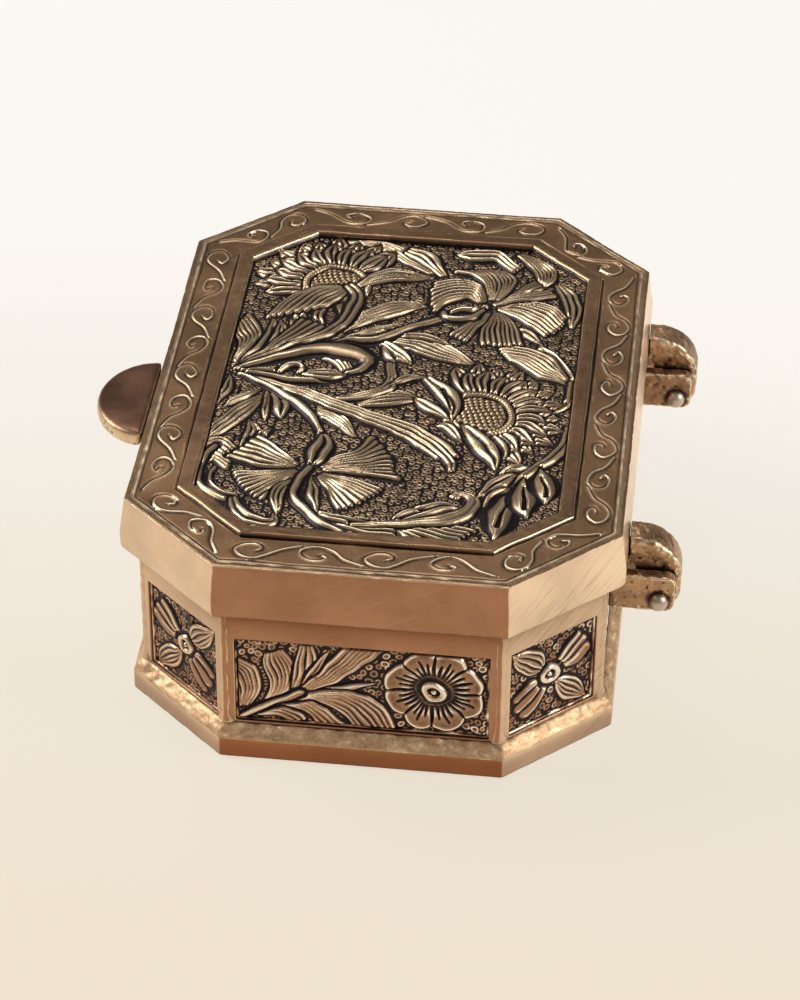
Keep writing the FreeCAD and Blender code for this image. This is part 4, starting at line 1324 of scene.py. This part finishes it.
class BETELBOX_OT_lid_casting(bpy.types.Operator):
    """Model the lid's casting with its leaning skirt, filed edges and hollow"""

    bl_idname = "betelbox.lid_casting"
    bl_label = "Lid casting"

    def execute(self, context):
        cast = context.scene.betel_cast
        rim = context.scene.betel_engraving.rim
        shares = round_the_plan(CASTING_STEP * (1), NEAR_CORNERS)
        low, top, lean, floor = LID_LOW.z, LID_TOP, SKIRT_LEAN, LID_TOP - BORDER_DEPTH
        corners = [
            (-POCKET_INSET, PLATE_LOW.z), (-POCKET_INSET, floor), (-rim, floor), (-rim, top - 0.12 * MM),
            (-rim + 0.25 * MM, top - 0.02 * MM), (-0.5 * MM, top), (-0.12 * MM, top - 0.15 * MM), (0, floor),
            (lean, top - 8 * MM), (lean, low + 1.7 * MM), (lean - 0.22 * MM, low + 0.9 * MM),
            (lean - 0.6 * MM, low + 0.4 * MM), (lean - 1.3 * MM, low), (-SKIRT_WALL, low),
            (-SKIRT_WALL, top - HOLLOW_DEPTH),
        ]
        steps = [MM, 6 * MM, MM, MM, 0.3 * MM, MM, MM, 1.2 * MM, 1.6 * MM, MM, MM, MM, 2 * MM, 4 * MM]
        points = eased(ring_points(section(corners, steps), shares))
        wobble = cast.wobble * (unevenness(points, 24, SKIRT_SEED) - 1.6).clip(-3, 0) * 0.5
        nicks = 0.09 * MM * unevenness(points, 1.6, SKIRT_SEED + 1).clip(-2, 0)
        reach = smooth((inside_octagon(points, lean) - 3 * MM) / (-2 * MM))
        push_out(points, (wobble + nicks) * reach)
        on_rim = np.abs(points[..., 2] - top) < 0.05 * MM
        rough = unevenness(points, 1.3, SKIRT_SEED + 2)
        points[..., 2] += 0.05 * MM * on_rim * rough.clip(-2, 0)
        obj = closed_band("lid_casting", points, SKIRT_CREASE, 0.5 + on_rim * (0.08 + 0.07 * rough))
        settle(obj, "aged_lid", "lid", "lid_brass", "lid_shell")
        self.strip(shares)
        return {"FINISHED"}

    def strip(self, shares):
        """Flat strip round the relief, its edges hammered uneven."""
        outer, inner = -STRIP_INSET, -STRIP_INSET - STRIP_WIDTH
        foot, top = STRIP_LOW.z - 0.3 * MM, STRIP_HIGH.z - 0.04 * MM
        corners = [
            (inner, foot), (inner, top - 0.3 * MM), (inner + 0.28 * MM, top), (outer - 0.28 * MM, top),
            (outer, top - 0.3 * MM), (outer, foot), (inner, foot),
        ]
        points = ring_points(section(corners, [MM, MM, 0.4 * MM, MM, MM, MM]), shares)
        push_out(points, 0.14 * MM * unevenness(points, 9, STRIP_SEED).clip(-2, 0))
        high = points[..., 2] > top - 0.1 * MM
        rough = unevenness(points, 1.8, STRIP_SEED + 1)
        points[..., 2] += np.where(high, 0.04 * MM * rough.clip(-2, 0), 0)
        side = -inside_octagon(points)
        border = np.minimum(np.abs(side - inner), np.abs(side - outer))
        worn = np.where(high, 0.35 + 0.5 * bell(border / (0.4 * MM)) * (0.75 + 0.4 * rough), 0.3)
        obj = closed_band("lid_panel_strip", points, STRIP_CREASE, worn)
        settle(obj, "aged_lid", "lid", "lid_brass", "lid_panel_frame")


class BETELBOX_OT_side_reliefs(bpy.types.Operator):
    """Chase the flower panels of the eight sides"""

    bl_idname = "betelbox.side_reliefs"
    bl_label = "Side reliefs"

    def execute(self, context):
        sizes = context.scene.betel_chasing
        step = sizes.side_step * 1
        for index, node in enumerate(SIDE_NAMES):
            low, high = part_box(node)
            foot, top = low.z + FIELD_FOOT, high.z - FIELD_BAND
            middle, along, outward, run = side_axes(index, -SIDE_INSET)
            half_run, half_rise = run / 2 - POST_WIDTH - SEAM, (top - foot) / 2 - SEAM
            a, b = field_grid((-half_run, -half_rise), (half_run, half_rise), step)
            points, worn = self.chased(index, a, b, half_run, half_rise, step, sizes)
            obj = plate(node.replace("plate", "flowers"), points, worn, 0)
            turn = Matrix(((along[0], 0, outward[0], middle[0] - outward[0] * FIELD_DEPTH),
                           (along[1], 0, outward[1], middle[1] - outward[1] * FIELD_DEPTH),
                           (0, 1, 0, (foot + top) / 2), (0, 0, 0, 1)))
            obj.data.transform(turn)
            smooth_faces(obj, RELIEF_CREASE)
            settle(obj, "aged_side_flowers", "box", "cast_side_brass")
        return {"FINISHED"}

    def chased(self, index, a, b, half_run, half_rise, step, sizes):
        """Points of one side's field and how bright they are, from rubbed wear and painted highlight, with
        its slanted edge cast round it.
        """
        flat = spots(a, b)
        stray = [sizes.stray * unevenness(flat, 6, SIDE_STRAY_SEED + 2 * index + k) for k in (0, 1)]
        mirror = -1 if index in (3, 7) else 1
        relief = Relief(mirror * (a + stray[0]), b + stray[1], sizes.side_lift, 0.8 * sizes.edge,
                        0.8 * sizes.furrow, 0.78, 3.4, 1)
        draw = (draw_end_panel, draw_corner_panel, draw_long_panel, draw_corner_panel)[index % 4]
        draw(relief)
        border = np.minimum(half_run - np.abs(a), half_rise - np.abs(b))
        relief.room = np.minimum(relief.room, border)
        relief.beads(sizes.bead_pitch * 1.2, sizes.bead_lift, SIDE_BEAD_SEED + index)
        relief.height = soften(relief.height, 1)
        relief.height += 0.03 * MM * (1 + unevenness(flat, 5, SIDE_GROUND_SEED + index))
        wavy = 0.5 + 0.3 * unevenness(flat, 4, SIDE_EDGE_SEED + index)
        trench = 1 - smooth(1.6 - border / (0.5 * MM))
        lip = smooth(1.5 - border / (wavy * 0.5 * MM)) * (0.9 if index % 2 else 0.55)
        worn = relief.wear_and_painted_light(step) * trench * (1 - lip) + (0.3 + wavy) * lip
        height = relief.height * trench * (1 - lip) + 0.5 * sizes.side_lift * lip
        return spots(a, b, np.clip(height + 0.05 * MM, 0.02 * MM, FIELD_DEPTH)), worn


def copy_of(node, name):
    """Copy of a solid's mesh with its loose triangles merged."""
    obj = bpy.data.objects.new(name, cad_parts[node].data.copy())
    bpy.context.scene.collection.objects.link(obj)
    for key in [k for k in obj.keys() if k.startswith("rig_")]:
        del obj[key]
    edit(obj, merge, outwards)
    return obj


def apply_modifier(obj, kind, **settings):
    """Add one modifier and apply it."""
    only(obj)
    modifier = obj.modifiers.new(kind.lower(), kind)
    for key, value in settings.items():
        setattr(modifier, key, value)
    bpy.ops.object.modifier_apply(modifier=modifier.name)


def recast(node, name, voxel, pits, seed, rounding=6):
    """Rough casting in place of a solid: remeshed, its edges worn round and its faces pitted."""
    obj = copy_of(node, name)
    apply_modifier(obj, "REMESH", mode="VOXEL", voxel_size=voxel)
    apply_modifier(obj, "SMOOTH", factor=0.5, iterations=rounding)
    points = read_points(obj)
    dents = 0.65 * unevenness(points, 2.6, seed) + 0.35 * unevenness(points, 1.2, seed + 1)
    points += read_points(obj, "normal") * (pits * (dents - 0.9).clip(-2.4, 0) * 0.5)[:, None]
    move_points(obj, np.clip(points, *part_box(node)))
    mark(obj, roundness(obj))
    smooth_faces(obj, CAST_CREASE)
    return obj


def roundness(obj):
    """How far each point stands proud of its neighbourhood: over a half on edges, under it in corners."""
    before, out = read_points(obj), read_points(obj, "normal")
    mesh = obj.data.copy()
    copy = bpy.data.objects.new("eased_copy", mesh)
    bpy.context.scene.collection.objects.link(copy)
    apply_modifier(copy, "SMOOTH", factor=0.5, iterations=16)
    proud = ((before - read_points(copy)) * out).sum(1)
    bpy.data.objects.remove(copy)
    bpy.data.meshes.remove(mesh)
    return 0.5 + proud / (0.16 * MM)


class BETELBOX_OT_castings(bpy.types.Operator):
    """Give the hinges, the tab, the foot and the side plates their cast and filed surfaces"""

    bl_idname = "betelbox.castings"
    bl_label = "Castings"

    def execute(self, context):
        cast = context.scene.betel_cast
        coarse = 1
        for number, side in enumerate(("left", "right")):
            for part, body in (("hinge_left_ear", "box"), ("hinge_right_ear", "box"), ("hinge_lug", "lid")):
                node = side + "_" + part
                seed = HINGE_SEED + 7 * number
                obj = recast(node, node + "_casting", cast.fine_voxel * coarse, cast.pits, seed)
                settle(obj, "aged_hinge", body, "hinge_brass", node)
        tab = recast("thumb_tab", "thumb_tab_casting", 1.4 * cast.fine_voxel, 0.1 * cast.pits, TAB_SEED, 70)
        settle(tab, "aged_tab", "lid", "brushed_brass", "thumb_tab")
        self.foot(cast, coarse)
        for index in range(8):
            self.corner_seam(index)
        for node in SIDE_NAMES:
            obj = copy_of(node, node + "_filed")
            apply_modifier(obj, "BEVEL", width=cast.softness, segments=3, limit_method="ANGLE",
                           angle_limit=math.radians(30), harden_normals=False)
            smooth_faces(obj, FILED_CREASE)
            settle(obj, "aged_satin", "box", "cast_side_brass", node)
        return {"FINISHED"}

    def corner_seam(self, index):
        """Solder that fills and rounds one upright corner between two side plates."""
        low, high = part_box(SIDE_NAMES[index])
        corner = octagon(-SIDE_INSET)[index]
        _, before, out_before, _ = side_axes(index - 1, -SIDE_INSET)
        _, after, out_after, _ = side_axes(index, -SIDE_INSET)
        levels = np.arange(low.z + 0.2 * MM, high.z - 0.3 * MM, 0.4 * MM)
        lump = bell((levels - levels[0]) / (1.3 * MM))[:, None]
        width = (1.15 + 0.9 * lump) * MM
        between = out_before + out_after
        rows = []
        for across in np.linspace(-1, 1, 13):
            way, out = (before, out_before) if across < 0 else (after, out_after)
            out = out if abs(across) > 0.1 else between / 2
            proud = MM * ((0.17 + 0.4 * lump) * (1 - across**4) - 0.06)
            rows.append(spots(*(corner + across * width * way + proud * out).T, levels))
        inward = corner - 1.5 * MM * unit_rows(between)
        points = np.array(rows)
        points[1:-1] = (points[:-2] + 2 * points[1:-1] + points[2:]) / 4
        push_out(points, 0.05 * MM * unevenness(points, 2.2, SOLDER_SEED + index), inward)
        back = spots(*inward, levels)[None]
        whole = np.concatenate([points, back, points[:1]])
        obj = closed_band(f"corner_seam_{index + 1}", whole, SOLDER_CREASE)
        settle(obj, "aged_satin", "box", "cast_side_brass")

    def foot(self, cast, coarse):
        """Foot with a rough ledge and lumps of solder at the corners."""
        obj = recast("foot_ring", "foot_casting", cast.foot_voxel * coarse, 0.12 * cast.pits, FOOT_SEED, 3)
        low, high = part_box("foot_ring")
        points = read_points(obj)
        ledge = smooth((points[:, 2] - high.z + 2.6 * MM) / (0.7 * MM))
        ledge *= smooth((inside_octagon(points) - 0.4 * MM) / MM)
        lumps = np.zeros(len(points))
        for corner in octagon(-SIDE_INSET):
            lumps += bell(np.linalg.norm(points[:, :2] - corner, axis=1) / (3 * MM))
        rough = 0.11 * unevenness(points, 2.4, LEDGE_SEED) + 0.06 * unevenness(points, 1.1, LEDGE_SEED + 1)
        points += read_points(obj, "normal") * (ledge * MM * (rough + 0.4 * lumps))[:, None]
        move_points(obj, np.clip(points, low, high + Vector((0, 0, 1.2 * MM))))
        settle(obj, "aged_foot", "box", "brushed_brass", "foot_ring")


class BETELBOX_OT_studio(bpy.types.Operator):
    """Set up the floor, the lamps and the camera"""

    bl_idname = "betelbox.studio"
    bl_label = "Studio"

    def execute(self, context):
        studio = context.scene.betel_studio
        self.floor(studio)
        self.world(context, studio)
        for name, (where, width) in LAMPS.items():
            self.lamp(name + "_lamp", getattr(studio, name), where, width)
        self.camera(context, studio)
        context.scene.view_settings.view_transform = "Standard"
        return {"FINISHED"}

    def floor(self, studio):
        """Pale flat floor, its colour paler away from the camera."""
        bpy.ops.object.select_all(action="DESELECT")
        bpy.ops.mesh.primitive_grid_add(x_subdivisions=8, y_subdivisions=8, size=FLOOR_SIZE,
                                        location=(0, 0, -FLOOR_DROP))
        floor = bpy.context.object
        floor.name = "studio_floor"
        f = Finish("studio_paper")
        shade = f.blend(f.part(f.place, "X").between(0.13, -0.15), studio.near_floor, studio.far_floor)
        f.surface(shade, 0.9, f.bump(f.noise(900, 3), 0.02 * MM, 0.2), 0.0)
        wear(floor, f.material)
        kinds = ("Is Camera Ray", "Is Glossy Ray", "Is Transmission Ray")
        camera, glossy, through = (f.node("ShaderNodeLightPath", output=kind) for kind in kinds)
        seen = camera.math("MAXIMUM", glossy).math("MAXIMUM", through)
        glow = f.node("ShaderNodeEmission", inputs={"Color": shade, "Strength": 1.0})
        plain = Value(f, f.shader.outputs[0])
        mixed = f.node("ShaderNodeMixShader", inputs={0: seen * studio.evenness, 1: plain, 2: glow})
        f.feed(f.tree.nodes["Material Output"].inputs["Surface"], mixed)

    def world(self, context, studio):
        """Even light all round."""
        world = bpy.data.worlds.new("studio_light")
        world.use_nodes = True
        background = world.node_tree.nodes["Background"]
        background.inputs["Color"].default_value = (*studio.far_floor, 1)
        background.inputs["Strength"].default_value = studio.sky
        context.scene.world = world

    def lamp(self, name, power, where, width):
        """Large square lamp that looks at the box."""
        light = bpy.data.lights.new(name, "AREA")
        light.energy = power
        light.size = width
        lamp = bpy.data.objects.new(name, light)
        lamp.location = where
        lamp.rotation_euler = (-Vector(where)).to_track_quat("-Z", "Y").to_euler()
        bpy.context.scene.collection.objects.link(lamp)

    def camera(self, context, studio):
        """Camera at the photograph's view."""
        level = Vector((-math.cos(studio.heading), -math.sin(studio.heading), 0))
        look = level * math.cos(studio.dip) - Vector((0, 0, math.sin(studio.dip)))
        right = look.cross(Vector((0, 0, 1))).normalized()
        up = right.cross(look)
        across = right * math.cos(studio.roll) + up * math.sin(studio.roll)
        upright = across.cross(look)
        data = bpy.data.cameras.new("photo_view")
        data.lens = studio.lens
        data.sensor_width = 36
        data.clip_start = 10 * MM
        camera = bpy.data.objects.new("photo_view", data)
        turn = Matrix((across, upright, -look)).transposed().to_4x4()
        camera.matrix_world = Matrix.Translation(studio.place) @ turn
        context.scene.collection.objects.link(camera)
        context.scene.camera = camera


class BETELBOX_PT_sidebar(bpy.types.Panel):
    """Buttons and sizes of the betel box"""

    bl_label = "Betel box"
    bl_idname = "BETELBOX_PT_sidebar"
    bl_space_type = "VIEW_3D"
    bl_region_type = "UI"
    bl_category = "Betel Box"

    def draw(self, context):
        for operator in OPERATORS:
            self.layout.operator(operator.bl_idname)
        for name, group in GROUPS.items():
            box = self.layout.box()
            settings = getattr(context.scene, name)
            for key in group.__annotations__:
                box.prop(settings, key)


GROUPS = {
    "betel_chasing": ChasingSizes,
    "betel_engraving": EngravingSizes,
    "betel_cast": CastSizes,
    "betel_colours": BrassColours,
    "betel_studio": StudioSettings,
}
OPERATORS = (
    BETELBOX_OT_finishes,
    BETELBOX_OT_lid_casting,
    BETELBOX_OT_lid_border,
    BETELBOX_OT_lid_relief,
    BETELBOX_OT_side_reliefs,
    BETELBOX_OT_castings,
    BETELBOX_OT_studio,
)


def register():
    for group in (*GROUPS.values(), *OPERATORS, BETELBOX_PT_sidebar):
        bpy.utils.register_class(group)
    for name, group in GROUPS.items():
        setattr(bpy.types.Scene, name, PointerProperty(type=group))


def unregister():
    for name in GROUPS:
        delattr(bpy.types.Scene, name)
    for group in reversed((*GROUPS.values(), *OPERATORS, BETELBOX_PT_sidebar)):
        bpy.utils.unregister_class(group)


def main():
    register()
    bpy.ops.betelbox.finishes()
    bpy.ops.betelbox.lid_casting()
    bpy.ops.betelbox.lid_border()
    bpy.ops.betelbox.lid_relief()
    bpy.ops.betelbox.side_reliefs()
    bpy.ops.betelbox.castings()
    bpy.ops.betelbox.studio()


if __name__ == "__main__":
    main()
